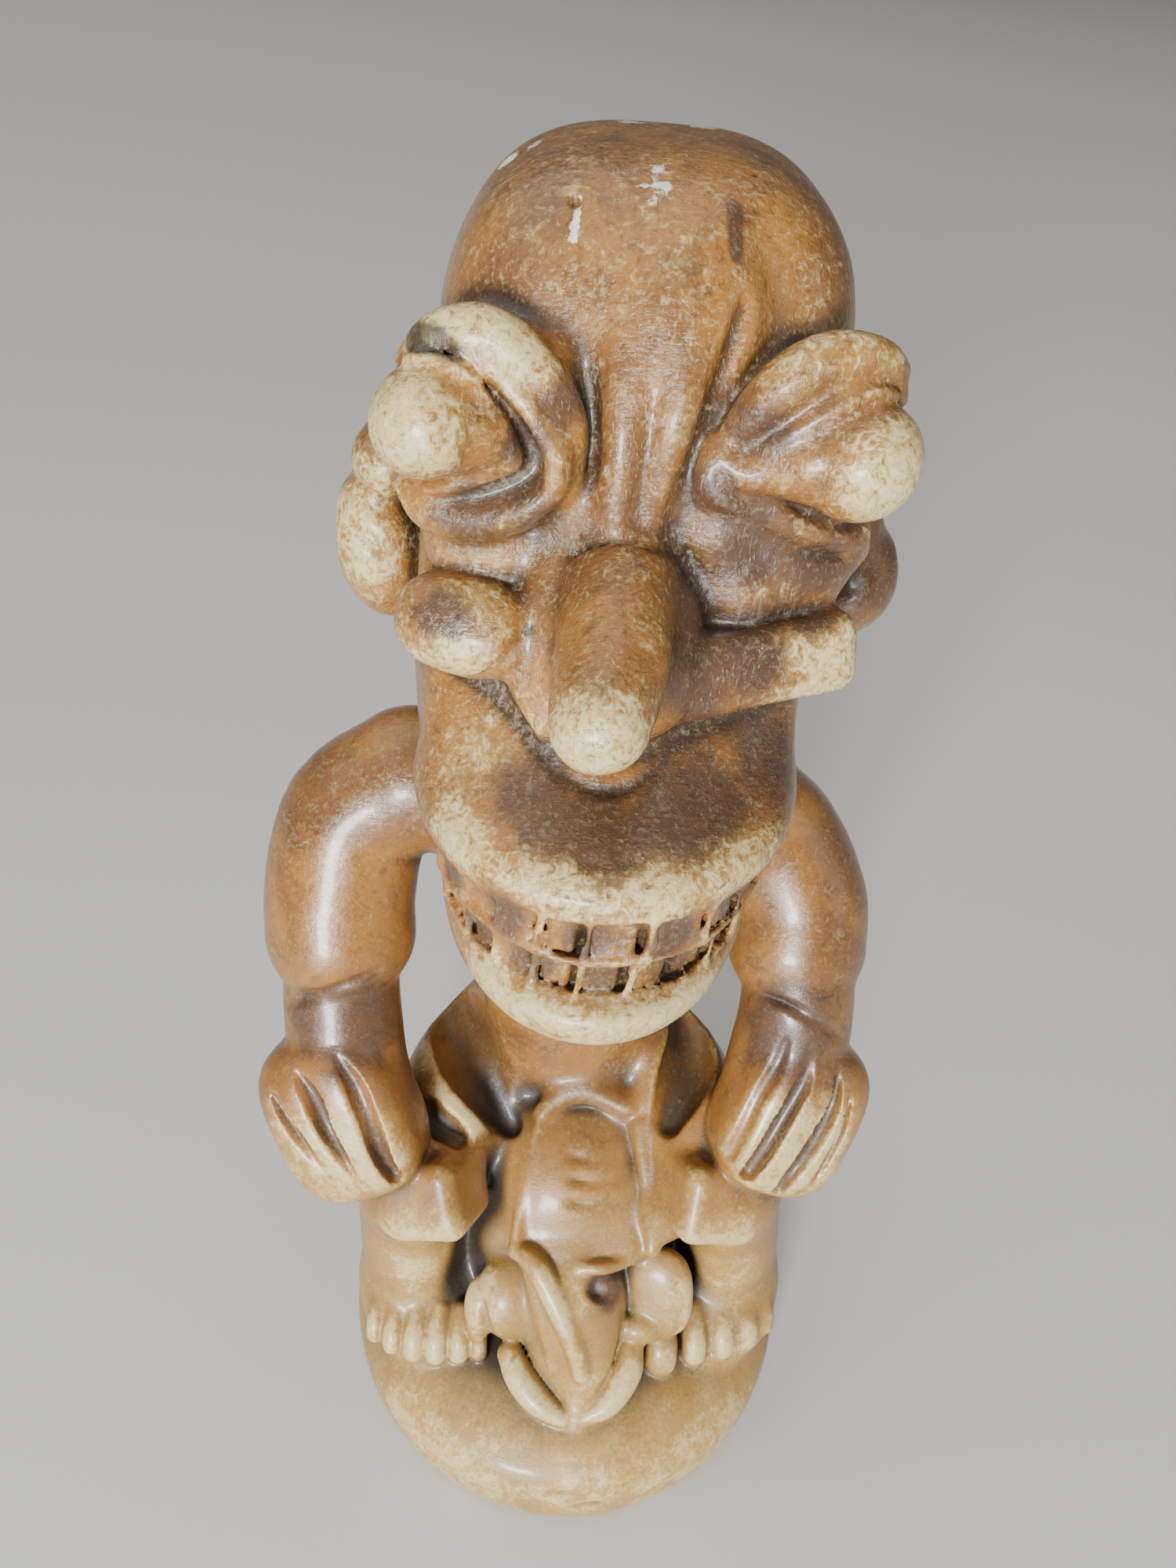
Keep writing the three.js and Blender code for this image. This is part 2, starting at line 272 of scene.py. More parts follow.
# %% The elephant
def carve_elephant():
    stone.add(ball((0, 12.5, 37), (16.8, 22.5, 17.5), square=2.3), 3)
    stone.add(pillar([(BASE_TOP - 4, 9, 15, 21), (30, 9, 14, 20)], square=3), 4)
    for side in (-1, 1):
        rod([(side * 10, -3, 34, 6.4), (side * 11.5, -5, 18, 6.8)], 4)
        rod([(side * 11, 20, 38, 9.5), (side * 12.5, 22, 18, 9)], 4)
    # neck and head are one slanting slab between the knees, wider below, with a rim at the nape
    stone.add(slab((2.6, 2.2, 41), (8.2, 8.2, 11.6), (-0.84, 0, 0), 1.8), 1.2)
    stone.add(slab((1.9, -1.6, 37.6), (10.6, 8, 6.6), (-0.84, 0, 0), 2), 3)
    rod([(-4.4, 5.2, 54.2, 1.5), (-1, 7.2, 56, 1.9), (3.6, 7.6, 56.4, 2.1), (8.8, 5.8, 55, 1.8)], 1.4)
    rod([(-5, 3.4, 53.2, 0.9), (-6.6, -2, 49, 0.9), (-8.4, -7.4, 43.6, 0.9), (-9, -11, 39.8, 1.2)], 0.9)
    rod([(10.6, 3.4, 53.4, 0.9), (11.6, -2, 49.2, 0.9), (12.6, -7.4, 44, 0.9),
         (12.8, -10.6, 40.2, 1.2)], 0.9)
    for i in range(3):
        y, z = -1.4 - 2.6 * i, 51.2 - 2.3 * i
        gouge([(0.4, y, z + 0.3, 0.1), (4.6, y - 0.6, z + 0.6, 0.2), (9, y, z + 0.2, 0.1)], 2)
    # the face drops from the brow as a wedge that narrows to the tip of the trunk
    rod([(-0.4, -6, 33.4, 8.6), (0.4, -12.4, 30.4, 8.6), (1.1, -17, 26.4, 6.7), (1.3, -20.8, 22.6, 4.8),
         (1, -24.4, 19.4, 3.2), (0.7, -26.6, 18.4, 2.3)], 2)
    rod([(-5, -13, 26, 5), (-3.6, -18.4, 23.4, 4), (-2, -22, 20, 3)], 1.5)
    stone.add(ball((-9.4, -13, 29), (6.6, 5, 7.4), (-32, 0, 18)), 1.6)
    rod([(-8.6, -11, 40.2, 1.4), (-6, -13.1, 40.1, 1.9), (-3.6, -16, 37.7, 2), (-1.6, -19.2, 34.5, 1.9),
         (0.3, -22, 30.7, 1.8), (1.2, -23.8, 26.4, 1.5)], 0.7)
    rod([(-7, -12.4, 39, 1.3), (-5.6, -15.6, 34.6, 1.4), (-4, -19.4, 30, 1.4), (-2.8, -22, 24.8, 1.2)], 0.8)
    # a little stone fills the corner by the right knee
    stone.add(ball((14.6, -6.6, 43), (3.6, 3.6, 5)), 2)
    # the right eye under its lid, ears like tongues lying back, and tusks that meet below the trunk
    stone.cut(ball((5.4, -15.4, 37.4), (3, 1.3, 2), (-30, 0, 14)), 1.6)
    stone.add(ball((5, -14, 35.8), (2.3, 1.7, 1.8)), 0.9)
    rod([(1.4, -13.4, 39.6, 0.7), (5, -13.6, 39.7, 1), (9.2, -11.6, 38.4, 0.9)], 1.2)
    stone.add(ball((14, -12.9, 31.4), (5.6, 2.9, 7.8), (-28, -8, -14), square=2.5), 0.8)
    stone.add(ball((10.8, -17.2, 27), (3.4, 2, 2.4), (-20, 0, 0)), 1)
    stone.add(ball((-15.2, -14.4, 27.6), (2.6, 3, 5.6), (-32, 8, 10)), 0.8)
    gouge([(9.4, -12.8, 38, 0.4), (8.6, -17.2, 31.6, 0.6), (7.4, -20.2, 26, 0.7),
           (5.8, -23, 21.4, 0.5)], 0.8)
    gouge([(-14.2, -15.4, 32, 0.3), (-13.6, -18.4, 27, 0.6), (-12.2, -20.8, 23, 0.4)], 0.6)
    rod([(9.4, -19.4, 24.6, 2), (8.6, -22.4, 22.6, 2.5), (5.6, -25.8, 20.2, 2.3),
         (2.2, -27.4, 18.8, 1.6)], 0.4)
    rod([(-10.2, -19.8, 23.8, 2.3), (-8.2, -23, 21.8, 2.6), (-5, -26, 20, 2.3),
         (-1.6, -27.6, 18.8, 1.6)], 0.4)
    # a tail that hangs on the hindquarters
    rod([(0, 31, 49, 2.4), (0.4, 34, 40, 2), (0, 31.5, 24, 1.7)], 1.5)


carve_elephant()
print("elephant cut")

# %% [markdown]
# ## Legs, body and arms
# The rider's legs bow round the elephant and the feet end in short blunt toes on the base. The arms are
# thick sausages with a crisp fold at the elbow, where a boxy mitten of a hand starts and lies over the
# knee. Separate fingers would look too real, so they are only lines gouged over the back of each hand.

# %% Legs and feet
TOES = {
    -1: [(15.2, -18, 1.7), (18.4, -18.2, 1.8), (22.2, -18.2, 1.8), (25.9, -17.8, 1.7), (29.4, -16.8, 1.6),
         (32.4, -15, 1.5)],
    1: [(14.6, -18.8, 2.8), (20.4, -17.8, 2), (25.2, -17, 1.9), (29.6, -15.4, 1.8), (32.8, -13.2, 1.6)],
}


def carve_legs(side):
    rod(mirrored([(10, 22, 55, 10), (17.4, 13, 53.6, 9.2), (23.6, -2.4, 46.6, 8.8)], side), 3.5)
    rod(mirrored([(25.4, -1.4, 44, 8.8), (26.4, -2.4, 33, 8.6), (26.4, -3.4, 23, 9)], side), 3.5)
    stone.add(ball((side * 24.6, -6.4, 21.4), (10.4, 11.8, 5.2), (13, 0, 0), square=2.2), 4)
    # the knee comes to a soft corner under the hand
    stone.add(slab((side * 21.6, -5.2, 48.6), (6.8, 6.6, 6.4), (-0.5, side * 0.35, side * 0.25), 2.6), 1.6)
    for x, y, r in TOES[side]:
        out = side * x
        rod([(out * 0.985, y + 5.4, 24.2, r * 0.95), (out, y + 1.6, 22.4, r), (out, y, 20.4, r)], 0.5)


for side in (-1, 1):
    carve_legs(side)
print("legs cut, with", len(TOES[-1]), "toes on the left and", len(TOES[1]), "on the right")

# %% The body
def carve_body():
    stone.add(pillar([
        (48, 20, 13, 11), (56, 20, 14, 12), (66, 20.6, 14, 12), (78, 21.5, 15, 11.5),
        (90, 22.5, 17.5, 11.8), (100, 23.6, 20.5, 11.6), (110, 24.2, 21.5, 11), (119, 24.2, 14, 9.2)],
        square=2.3, edge=3), 3)
    rod([(-24, 23.8, 107.6, 10.2), (0, 24.4, 109.5, 10.3), (22, 24.2, 105, 10)], 5)
    rod([(0, 23, 110, 11.5), (0, 17, 130, 14)], 5)
    gouge([(0, 37, 96, 1.4), (0, 34.4, 78, 1.6), (0, 34, 60, 1.2)], 3)
    # deep pockets between body and thighs leave the left thigh's edge standing as a thin crescent
    gouge([(-20.4, 21, 63, 4.6), (-17.2, 12.4, 62, 5.4), (-14.4, 8, 59.6, 5), (-11.8, 5.4, 55.4, 3.6),
           (-9.8, 4.2, 51.8, 2)], 0.8)
    gouge([(-26.4, 6, 71, 2), (-25.2, 2.4, 66, 3), (-22.6, 1.4, 58.6, 2.8), (-17.6, -0.9, 56, 2)], 0.8)
    gouge([(20.6, 20.5, 62, 4), (20.2, 13.1, 62, 4.4), (17.8, 6.8, 60.4, 4.2), (15.2, 2.2, 56.6, 2.8)], 0.8)


carve_body()
print("body cut, with pockets beside the thighs")

# %% Arms and hands
ARMS = {
    -1: {"arm": [(24, 24, 108, 10.2), (31.8, 22.5, 101.5, 10.8), (34.4, 17.6, 92, 11),
                 (34.5, 14.2, 86.2, 11)],
         "palm": (34.3, -0.5, 62.5),
         "fold": [(27.8, 5.6, 87), (32.6, 3.4, 86.2), (37.2, 3.3, 83.6), (42.2, 5.6, 79.2)]},
    1: {"arm": [(22, 24.4, 105, 10), (29.6, 23.8, 98.5, 10.2), (34.2, 19.4, 90.5, 10.4),
                (34.3, 15.6, 84.6, 10.6)],
        "palm": (33.7, 1.3, 62),
        "fold": [(26.2, 7.6, 82.2), (31.1, 4.7, 82.9), (35.4, 2.2, 81.9), (40.9, 2.7, 76.8)]},
}
FOLD_DEPTHS = (0.4, 0.7, 0.7, 0.4)
HAND = {"radii": (10.7, 8.6, 13.6), "forward": -26, "outward": 25}
# the lines between the fingers run inward over the back of each hand
FINGER_LINES = {
    -1: [[(-33.9, -1.6, 76.2, 0.6), (-31.4, -4.2, 73.1, 1.3), (-29.5, -7.1, 68.8, 1.5),
          (-27.8, -9.1, 62.8, 1.5), (-26.2, -9.8, 59.2, 1.2)],
         [(-39.8, -2.4, 73.6, 0.6), (-37.6, -5, 71, 1.4), (-35.6, -7.2, 66.5, 1.4),
          (-32.9, -10.3, 62.5, 0.9), (-31, -11.5, 59.3, 0.5)],
         [(-43.6, -3.5, 69.6, 0.5), (-41, -6.2, 66.2, 1), (-38, -9.4, 62.9, 0.9),
          (-35.2, -11.2, 59.8, 0.5)]],
    1: [[(31.4, 1.3, 78.2, 0.6), (30.1, -0.7, 74.9, 1.3), (27.3, -3.5, 71, 1.6), (25.2, -5.9, 66.5, 1.6),
         (23.4, -7.4, 61.6, 1.3)],
        [(35.6, 0.3, 77.8, 0.6), (34.2, -2.3, 73.2, 1.4), (31.8, -4.6, 68.6, 1.6), (28.9, -7.2, 63.3, 1.6),
         (26.6, -8.6, 58.8, 1.3)],
        [(40, -0.3, 73, 0.5), (39, -3, 68.6, 1.2), (36.7, -6.2, 64.2, 1.4), (33.4, -8.9, 59.4, 1.3),
         (31.6, -9.2, 55.6, 0.9)],
        [(41.8, -2, 69.5, 0.4), (40.8, -4.4, 64.5, 0.7), (38.6, -7.2, 59.9, 0.7), (36.6, -9, 56.6, 0.4)]],
}


def carve_arm(side):
    arm, palm = ARMS[side]["arm"], ARMS[side]["palm"]
    # the wrist comes out from under the elbow's bulge, a good deal thinner than the arm
    wrist = [(34.3, 15, 87, 8.2), (34.6, 9.6, 76.5, 8.7), (palm[0] - 0.2, palm[1] + 4.5, 66, 9.1)]
    rod(mirrored(wrist, side), 2)
    rod(mirrored(arm, side), 0.7)
    gouge([(side * x, y, z, r) for (x, y, z), r in zip(ARMS[side]["fold"], FOLD_DEPTHS)], 0.8)
    turn = (HAND["forward"], side * HAND["outward"], 0)
    stone.add(ball((side * palm[0], palm[1], palm[2]), HAND["radii"], turn, square=3), 1.2)
    for line in FINGER_LINES[side]:
        gouge(line, 0.35)


for side in (-1, 1):
    carve_arm(side)
print("arms and hands cut")

# %% [markdown]
# ## The head
# The head is a tall block with a rounded top, straight side walls and a muzzle that flares forward into
# a thick lip. We block it out with large forms first, as a carver does, and only then add the brow, the
# eyes and the nose, each standing clear of the wall behind it.

# %% Skull, walls, muzzle
MOUTH_Y = -8.0


def carve_head():
    stone.add(ball((-0.2, 15, 168), (20.7, 20, 25.6), square=2.9), 3)
    stone.add(pillar([
        (114, 9, 12, 15), (120, 6, 16.5, 19), (128, 5, 19.3, 20.5), (138, 5, 21.1, 19.5),
        (147, 6, 21.6, 18), (156, 9, 21.2, 17), (164, 13, 20.4, 17), (172, 14, 19, 18),
    ], square=2.5, edge=3), 4)
    y = MOUTH_Y
    stone.add(pillar([
        (131.5, y, 18, 19.4), (134, y, 19.2, 21), (136.4, y, 20.2, 22.1), (138.6, y, 20.1, 22),
        (140, y + 0.4, 19.7, 20.7), (141.2, y + 1.3, 19.5, 18.4), (142.6, y + 2.8, 19.6, 15.9),
        (144.8, y + 5, 19.8, 14), (147.5, -1.5, 20.1, 12), (151, 0.5, 20.4, 11), (156, 2, 20.5, 10.4),
    ], edge=0.9), 1.2)
    # the brow: one broad column from the crown down between the eyes
    rod([(1.8, 8, 180.5, 10.5), (1.4, 3.4, 180, 9.4), (0.6, -0.6, 177.5, 7), (-0.1, -2.4, 173.5, 5.8),
         (-0.7, -3.2, 168.6, 5.2), (-1, -3.6, 164.5, 4.8)], 4)
    # cheeks fill the corners between eyes, nose and wings
    stone.add(ball((-12.6, -4, 161), (7.4, 4.4, 5)), 2)
    stone.add(ball((13.4, -3.8, 158.6), (8, 4.6, 5.6)), 2)


carve_head()
print("skull and muzzle cut")

# %% Jaw, gums and the two rows of teeth
GUM = {"rx": 16.6, "ry": 20.6}
# where each rib between two teeth lies round the mouth, in degrees from the middle
UPPER_RIBS = (-66, -51, -35, -21, -7, 12, 34, 49, 63)
LOWER_RIBS = (-70, -53, -38, -22.5, -8, 9, 26, 42, 57)


def round_mouth(degrees, rx, ry):
    angle = math.radians(degrees)
    return rx * math.sin(angle), MOUTH_Y - ry * math.cos(angle)


def carve_row(ribs, low, high, proud, tilt):
    """Sunk panels of teeth between thin ribs, each with a deep cut along its right side."""
    rx, ry = GUM["rx"] + proud, GUM["ry"] + proud
    middle_z, half_z = (low + high) / 2, (high - low) / 2
    for k, (a, b) in enumerate(zip(ribs[:-1], ribs[1:])):
        a, b = a + 1, b - 3.3
        left, right = round_mouth(a, rx, ry), round_mouth(b, rx, ry)
        middle = round_mouth((a + b) / 2, rx, ry)
        wide = math.dist(left, right) / 2
        turn = math.atan2(right[1] - left[1], right[0] - left[0])
        out = Vector((math.sin(turn), -math.cos(turn)))
        sunk = 2.05 + 0.15 * math.sin(2.1 * k)
        centre = (middle[0] - out.x * sunk, middle[1] - out.y * sunk, middle_z + 0.25 * math.sin(2.4 * k))
        turns = (tilt, 0, turn + 0.05 * math.sin(3.1 * k))
        stone.add(slab(centre, (wide, 1.6, half_z), turns, 0.6), 0.3)
    for k, a in enumerate(ribs):
        sway = 0.9 * math.sin(1.7 * k)
        foot, half, top = (round_mouth(a + d, rx - 0.15, ry - 0.15) for d in (-0.8 + sway, sway, 0.8))
        rod([(*foot, low - 0.3, 0.5), (*half, middle_z, 0.42), (*top, high + 0.3, 0.55)], 0.3)
    for i, z in enumerate((low, high)):
        ledge = [(*round_mouth(a, rx - 0.2, ry - 0.2), z + 0.22 * math.sin(a / 7 + i), 0.5)
                 for a in range(ribs[0], ribs[-1] + 1, 8)]
        rod(ledge, 0.25, 3)


def carve_mouth():
    y = MOUTH_Y
    stone.add(pillar([
        (112.5, y + 4, 8, 12), (115, y + 1, 13, 19), (118.5, y, 16.2, 22.8), (121.2, y, 17.1, 24),
        (123.2, y, 17, 23.8), (124.2, y, 16.6, 22.8)], edge=0.7), 1.2)
    stone.add(pillar([(119, y, GUM["rx"] - 0.9, GUM["ry"] - 0.9), (130, y, GUM["rx"] - 0.6, GUM["ry"] - 0.6),
                      (137.5, y, GUM["rx"] + 0.4, GUM["ry"] + 0.4)]), 0.5)
    carve_row(LOWER_RIBS, 124.4, 129.9, 0.8, 0.10)
    carve_row(UPPER_RIBS, 130.7, 136.4, 1.8, -0.08)


carve_mouth()
print("mouth cut, with", len(UPPER_RIBS) - 1, "teeth above and", len(LOWER_RIBS) - 1, "below")

# %% [markdown]
# ## Brow, eyes, nose and ears
# These are the parts that people look at, so each roll of the lids is its own curve with its own
# thickness, taken from the figure: the left eye sits in a full horseshoe of a lid, the right one under a
# slanting visor with a bag below it. The eyeballs stand out past the side of the head.

# %% Brow folds
def carve_brow():
    rod([(-3.4, -3.2, 181.8, 1), (-3.3, -5.8, 178.2, 1.4), (-2.8, -7.3, 174.6, 1.6), (-2.6, -8.1, 171, 1.6),
         (-2.6, -8.6, 167.4, 1.5)], 1.8)
    rod([(2.4, -4.6, 181.4, 1.3), (2, -6.9, 177.6, 1.6), (1.5, -7.9, 173.8, 1.5), (1.2, -8.2, 170, 1.2),
         (1.2, -8.3, 167.2, 1.1)], 1.5)
    gouge([(-0.6, -8.2, 177.6, 0.3), (-0.7, -9.2, 173.4, 0.5), (-0.8, -9.7, 169.4, 0.55),
           (-0.9, -10.1, 166.6, 0.4)], 0.9)
    # the soft groove on the right of the brow, and a thin one beside it
    gouge([(6.2, -3.4, 184.6, 0.4), (5.4, -5.8, 180.8, 0.8), (4.8, -7.2, 177.6, 0.9),
           (4.2, -8.2, 174.4, 0.8), (3.4, -8.9, 171.2, 0.7), (2.8, -9, 168.6, 0.6),
           (2.4, -9, 167, 0.5)], 1.4)
    gouge([(4.9, -7, 175.6, 0.3), (4.4, -7.5, 172.6, 0.4), (4.4, -7.6, 169.7, 0.4),
           (4.8, -7, 166.8, 0.3)], 0.5)
    gouge([(-6.4, -6, 178, 0.6), (-5.5, -7.6, 172.6, 0.8), (-5.4, -8, 166.8, 0.8),
           (-5.8, -8, 163.6, 0.6)], 1.5)
    # facets and shallow dents left on the crown
    stone.cut(ball((21, 15, 193), (9, 16, 4), (0, 38, 0)), 3)
    gouge([(9, -1, 190, 1.2), (11.4, -3.2, 183, 1.6), (9.6, -5.2, 176, 1.2)], 4)


carve_brow()
print("brow cut")

# %% Eyes and lids
EYES = {
    -1: {
        "mound": ((-14, -2, 173.4), (7.6, 6.6, 8.8)),
        "upper": [(-21.2, -4.6, 178.8, 1.7), (-19.4, -5.6, 181.2, 2.1), (-16.4, -6.3, 182.2, 2.4),
                  (-13.4, -6.7, 181, 2.5), (-10.5, -6.8, 178.4, 2.4), (-8.4, -6.9, 175.3, 2.2),
                  (-7.6, -7, 172.2, 1.9), (-7.9, -7.2, 169.4, 1.7)],
        "lower": [(-21, -4.2, 167, 1.9), (-18.9, -5.6, 165.6, 2.5), (-15, -6.7, 165.6, 2.6),
                  (-11.6, -7.2, 167, 2.4), (-9.2, -7.3, 169.2, 1.9), (-8, -7.2, 171.2, 1.5)],
        "dish": ((-15.6, -15, 173.7), (12, 7, 13)),
        # the crest of the lid, a crisp line that turns down at the inner corner
        "crest": [(-17.2, -7.8, 181.4, 0.8), (-13.8, -8.5, 178.8, 1.1), (-11, -8.9, 176.3, 1.3),
                  (-9.1, -9.2, 173.8, 1.3), (-8.3, -9.3, 171.6, 1.3), (-8.7, -9.4, 169.7, 1.2),
                  (-10.3, -9.4, 168, 1.2), (-13, -8.9, 166.7, 1.1), (-16.4, -7.7, 165.9, 0.9)],
        "valley": [(-14.9, -9.5, 178.3, 0.8), (-12.7, -9.4, 175.4, 1.1), (-10.9, -9.3, 172.8, 1.1),
                   (-10.2, -9.3, 171.4, 0.7)],
        "white": [(-18.5, -8, 174.8, 4.6), (-15.7, -8.1, 174.2, 3.4), (-13.7, -8.4, 173.2, 2),
                  (-12.2, -9, 172.3, 1)],
        "rims": [[(-21.4, -7.8, 179.9, 0.8), (-19.3, -8.7, 180.3, 0.9), (-17.3, -9.1, 179.7, 0.9),
                  (-15.5, -9.3, 178, 0.85), (-13.9, -9.3, 175.6, 0.8), (-12.3, -9.2, 173, 0.7)],
                 [(-12.3, -9.1, 171.7, 0.7), (-14.7, -8.8, 170.6, 0.85), (-17.4, -8.4, 169.3, 0.85),
                  (-19.7, -7.5, 168.3, 0.7)]],
        "creases": [[(-7.2, -5.6, 179.6, 0.4), (-5.7, -6, 176, 0.5), (-5.3, -6.6, 172.4, 0.55),
                     (-5.9, -6.8, 169, 0.6), (-7.6, -6.6, 166.2, 0.6), (-10.4, -6.4, 163.8, 0.5),
                     (-14.4, -5.4, 162.4, 0.4)],
                    [(-9.8, -9.8, 170.6, 0.35), (-11.9, -9.6, 169.3, 0.5), (-15.2, -9.3, 168, 0.55),
                     (-18.6, -8.5, 167, 0.4)]],
        "ball": ((-19.8, -8.6, 175.1), (5, 5.4, 5)),
        "dot": (-15.2, -10.7, 175.2),
    },
    1: {
        "mound": ((14, -1.9, 172.2), (7.8, 6.2, 8.2)),
        "upper": [(6.6, -6.6, 173.4, 1.1), (8.5, -7.4, 176.9, 1.9), (10.5, -7.6, 179.5, 2.4),
                  (13, -7.3, 181.4, 2.4), (15.7, -7, 182.1, 2.1), (18.4, -6, 181.5, 1.7),
                  (20.5, -4.4, 179.9, 1.4)],
        "lower": [(5.6, -7.2, 170, 1.3), (9.6, -7.4, 167.9, 1.8), (13.8, -6.8, 165.5, 2),
                  (18.3, -5, 163.7, 1.9), (22, -2.2, 163, 1.5)],
        "dish": ((16.6, -15.2, 172.6), (13, 6.8, 9.8)),
        # a fold of skin under the visor, and the upright fold at the inner corner
        "crest": [(9, -8.2, 173.2, 0.8), (10.4, -8.8, 174.6, 1), (12.3, -9, 176.4, 1.2),
                  (14.6, -9, 178.3, 1.3), (17.1, -8.3, 179.5, 1.3), (19.6, -6.8, 179.2, 1.1),
                  (21.4, -4.8, 177.8, 0.9)],
        "valley": [(9.4, -9.5, 175.4, 0.3), (11.1, -9.9, 177.3, 0.6), (13.3, -10, 179.1, 0.6),
                   (15.8, -9.6, 180.4, 0.55), (18.3, -8.4, 180.6, 0.5), (20.6, -6.6, 179.2, 0.4)],
        "white": [(17.4, -7.6, 173.4, 5), (13.8, -7.9, 172.9, 3.7), (10.8, -8.2, 172, 2.3),
                  (8.2, -8.4, 171.6, 1.5), (6.4, -7.4, 172.6, 1.6)],
        "rims": [[(5.5, -7, 173.6, 1), (5.4, -7.8, 171.4, 1.3), (6.3, -8.2, 169.7, 1.4),
                  (8.4, -8.4, 168.5, 1.2)],
                 [(7.8, -8.3, 170.9, 0.7), (9.9, -8.4, 169.7, 0.95), (12.9, -8.3, 167.6, 1),
                  (16, -7.9, 165.9, 1), (19.4, -6.5, 164.8, 0.8)]],
        "creases": [[(6.2, -7, 179, 0.3), (8.2, -7.2, 181.6, 0.45), (10.8, -6.4, 183.6, 0.5),
                     (14, -5.6, 184.6, 0.5), (17.4, -4.6, 184, 0.4)]],
        "ball": ((18.5, -8.2, 173.2), (5.3, 5.6, 5.3)),
        "dot": (13.6, -10.5, 173.2),
    },
}


def carve_eye(eye):
    stone.add(ball(*eye["mound"], square=3), 1.4)
    rod(eye["upper"], 0.6)
    rod(eye["lower"], 0.6)
    # a shallow dish takes the inner side off the lids and leaves them a crisp edge
    stone.cut(ball(*eye["dish"]), 0.3)
    rod(eye["crest"], 1)
    gouge(eye["valley"], 0.8)
    rod(eye["white"], 0.5)
    for rim in eye["rims"]:
        rod(rim, 0.5)
    for crease in eye["creases"]:
        gouge(crease, 0.5)
    stone.add(ball(*eye["ball"]), 0.3)
    stone.add(ball(eye["dot"], (1.3, 1.2, 1.4)), 0.6)


for side in (-1, 1):
    carve_eye(EYES[side])
# the bag under the right eye is a broad second roll
rod([(6.2, -4.6, 165.2, 2.4), (10.6, -5.3, 163.4, 3.2), (14.8, -5, 161.8, 3.4), (19.1, -3.2, 160.9, 3.1),
     (22, -1, 160.9, 2.2)], 1.4)
gouge([(6.4, -8.9, 168, 0.3), (9.4, -9.2, 167, 0.5), (13.3, -8.9, 164.9, 0.55), (16.9, -7.6, 163.3, 0.5),
       (20.4, -5.4, 162.3, 0.3)], 0.5)
print("eyes cut")

# %% Nose and cheeks
def carve_nose():
    rod([(0.2, -4, 160.5, 5), (0.4, -8.5, 156, 7), (0, -11.5, 152.8, 7.8)], 2.2)
    rod([(-1, -4.6, 162.8, 4.2), (-1.4, -10, 160.6, 5.2), (-1.8, -16, 158, 5.4), (-2.4, -20.5, 156.4, 5.2),
         (-3, -24.3, 155.1, 4.7)], 1.4)
    stone.add(ball((-7.4, -7.6, 157.5), (3, 3.5, 5)), 2)
    # the hollows beside the nose are shallow
    for place in ((-6.3, -4.8, 164.3), (-4.8, -4.8, 167), (4.9, -4.3, 167.1), (7.3, -6, 164.4),
                  (9.5, -6, 159.9), (11.4, -6.1, 157.7), (-7.7, -9.8, 156.2), (-7.8, -10.9, 152.1)):
        stone.add(ball(place, (3.2, 3.2, 3.2)), 2.5)
    # a crease where the nose leaves the brow
    gouge([(-6.4, -8.8, 161.8, 0.25), (-4.6, -10.1, 164.4, 0.35), (-2.1, -11, 165.7, 0.4),
           (0.8, -10.8, 165.2, 0.35), (5.2, -7.9, 163.2, 0.3)], 0.6)
    # the left wing is a lens with a flat top, the right one a thick bar with a square end
    stone.add(ball((-15.4, -8.8, 155), (7.2, 5.2, 5), (-30, 6, -14), square=2.4), 0.6)
    rod([(-13, -10, 155.4, 3), (-9.4, -10.6, 155.6, 1.8)], 0.8)
    stone.add(slab((13, -8.6, 152.2), (10, 4.6, 4.2), (-0.28, -0.06, 0.30), 2.4), 0.9)
    # the root of the left wing and the torn cleft under it
    rod([(-10.4, -10.2, 153.4, 1.7), (-8.6, -12, 150.4, 2.2), (-6.6, -14, 147.8, 2.2)], 1.4)
    gouge([(-9.4, -12.4, 157.4, 0.4), (-10.6, -13.8, 155.6, 0.7), (-12.6, -14.6, 153.2, 0.9),
           (-13, -13.6, 151, 1.1), (-11.8, -12.8, 149.4, 0.9), (-10.6, -12.6, 147.8, 0.5)], 0.3)
    gouge([(-14.4, -13.2, 151.4, 0.5), (-12.8, -13.8, 152.6, 0.6), (-11.2, -13.6, 152, 0.4)], 0.3)
    # a sharp step where the nose and its wings meet the shelf of the lip
    gouge([(23.2, -5, 147.4, 0.6), (17.6, -9, 147.6, 0.7), (11.7, -12.4, 147.4, 0.7),
           (6.9, -15.2, 146.6, 0.7), (4, -17.6, 144.9, 0.8), (0.4, -19.4, 143.6, 0.8),
           (-3.7, -19, 143.9, 0.8), (-7.4, -16.2, 145, 0.7), (-10.6, -12.6, 147, 0.7),
           (-14.6, -9.4, 148.6, 0.6), (-20.9, -4, 148, 0.4)], 0.5)


carve_nose()
print("nose cut")

# %% Ears
def carve_ears():
    stone.add(ball((-25.4, 16.5, 160.2), (4.5, 5.8, 4.6), (0, 25, 0)), 1.4)
    stone.add(ball((-26.2, 16.5, 149.6), (5.6, 7.2, 9.4), (0, -12, 0)), 1.4)
    stone.add(ball((25.4, 17, 153), (6, 6, 5.6), (0, -35, 0)), 1.4)
    stone.add(ball((28.6, 17, 147.4), (5.8, 7.4, 7), (0, 15, 0)), 1.4)
    for side, out, z in ((-1, 32.4, 149.5), (1, 35.2, 147.4)):
        stone.cut(ball((side * out, 17, z), (2.4, 3.6, 4.6), (0, side * -10, 0)), 1.4)
        gouge([(side * (out - 1), 11.4, z + 5.8, 0.8), (side * (out - 5), 9.4, z + 4.2, 1),
               (side * (out - 9), 9.6, z + 1.6, 0.7)], 0.8)


carve_ears()
print("ears cut")

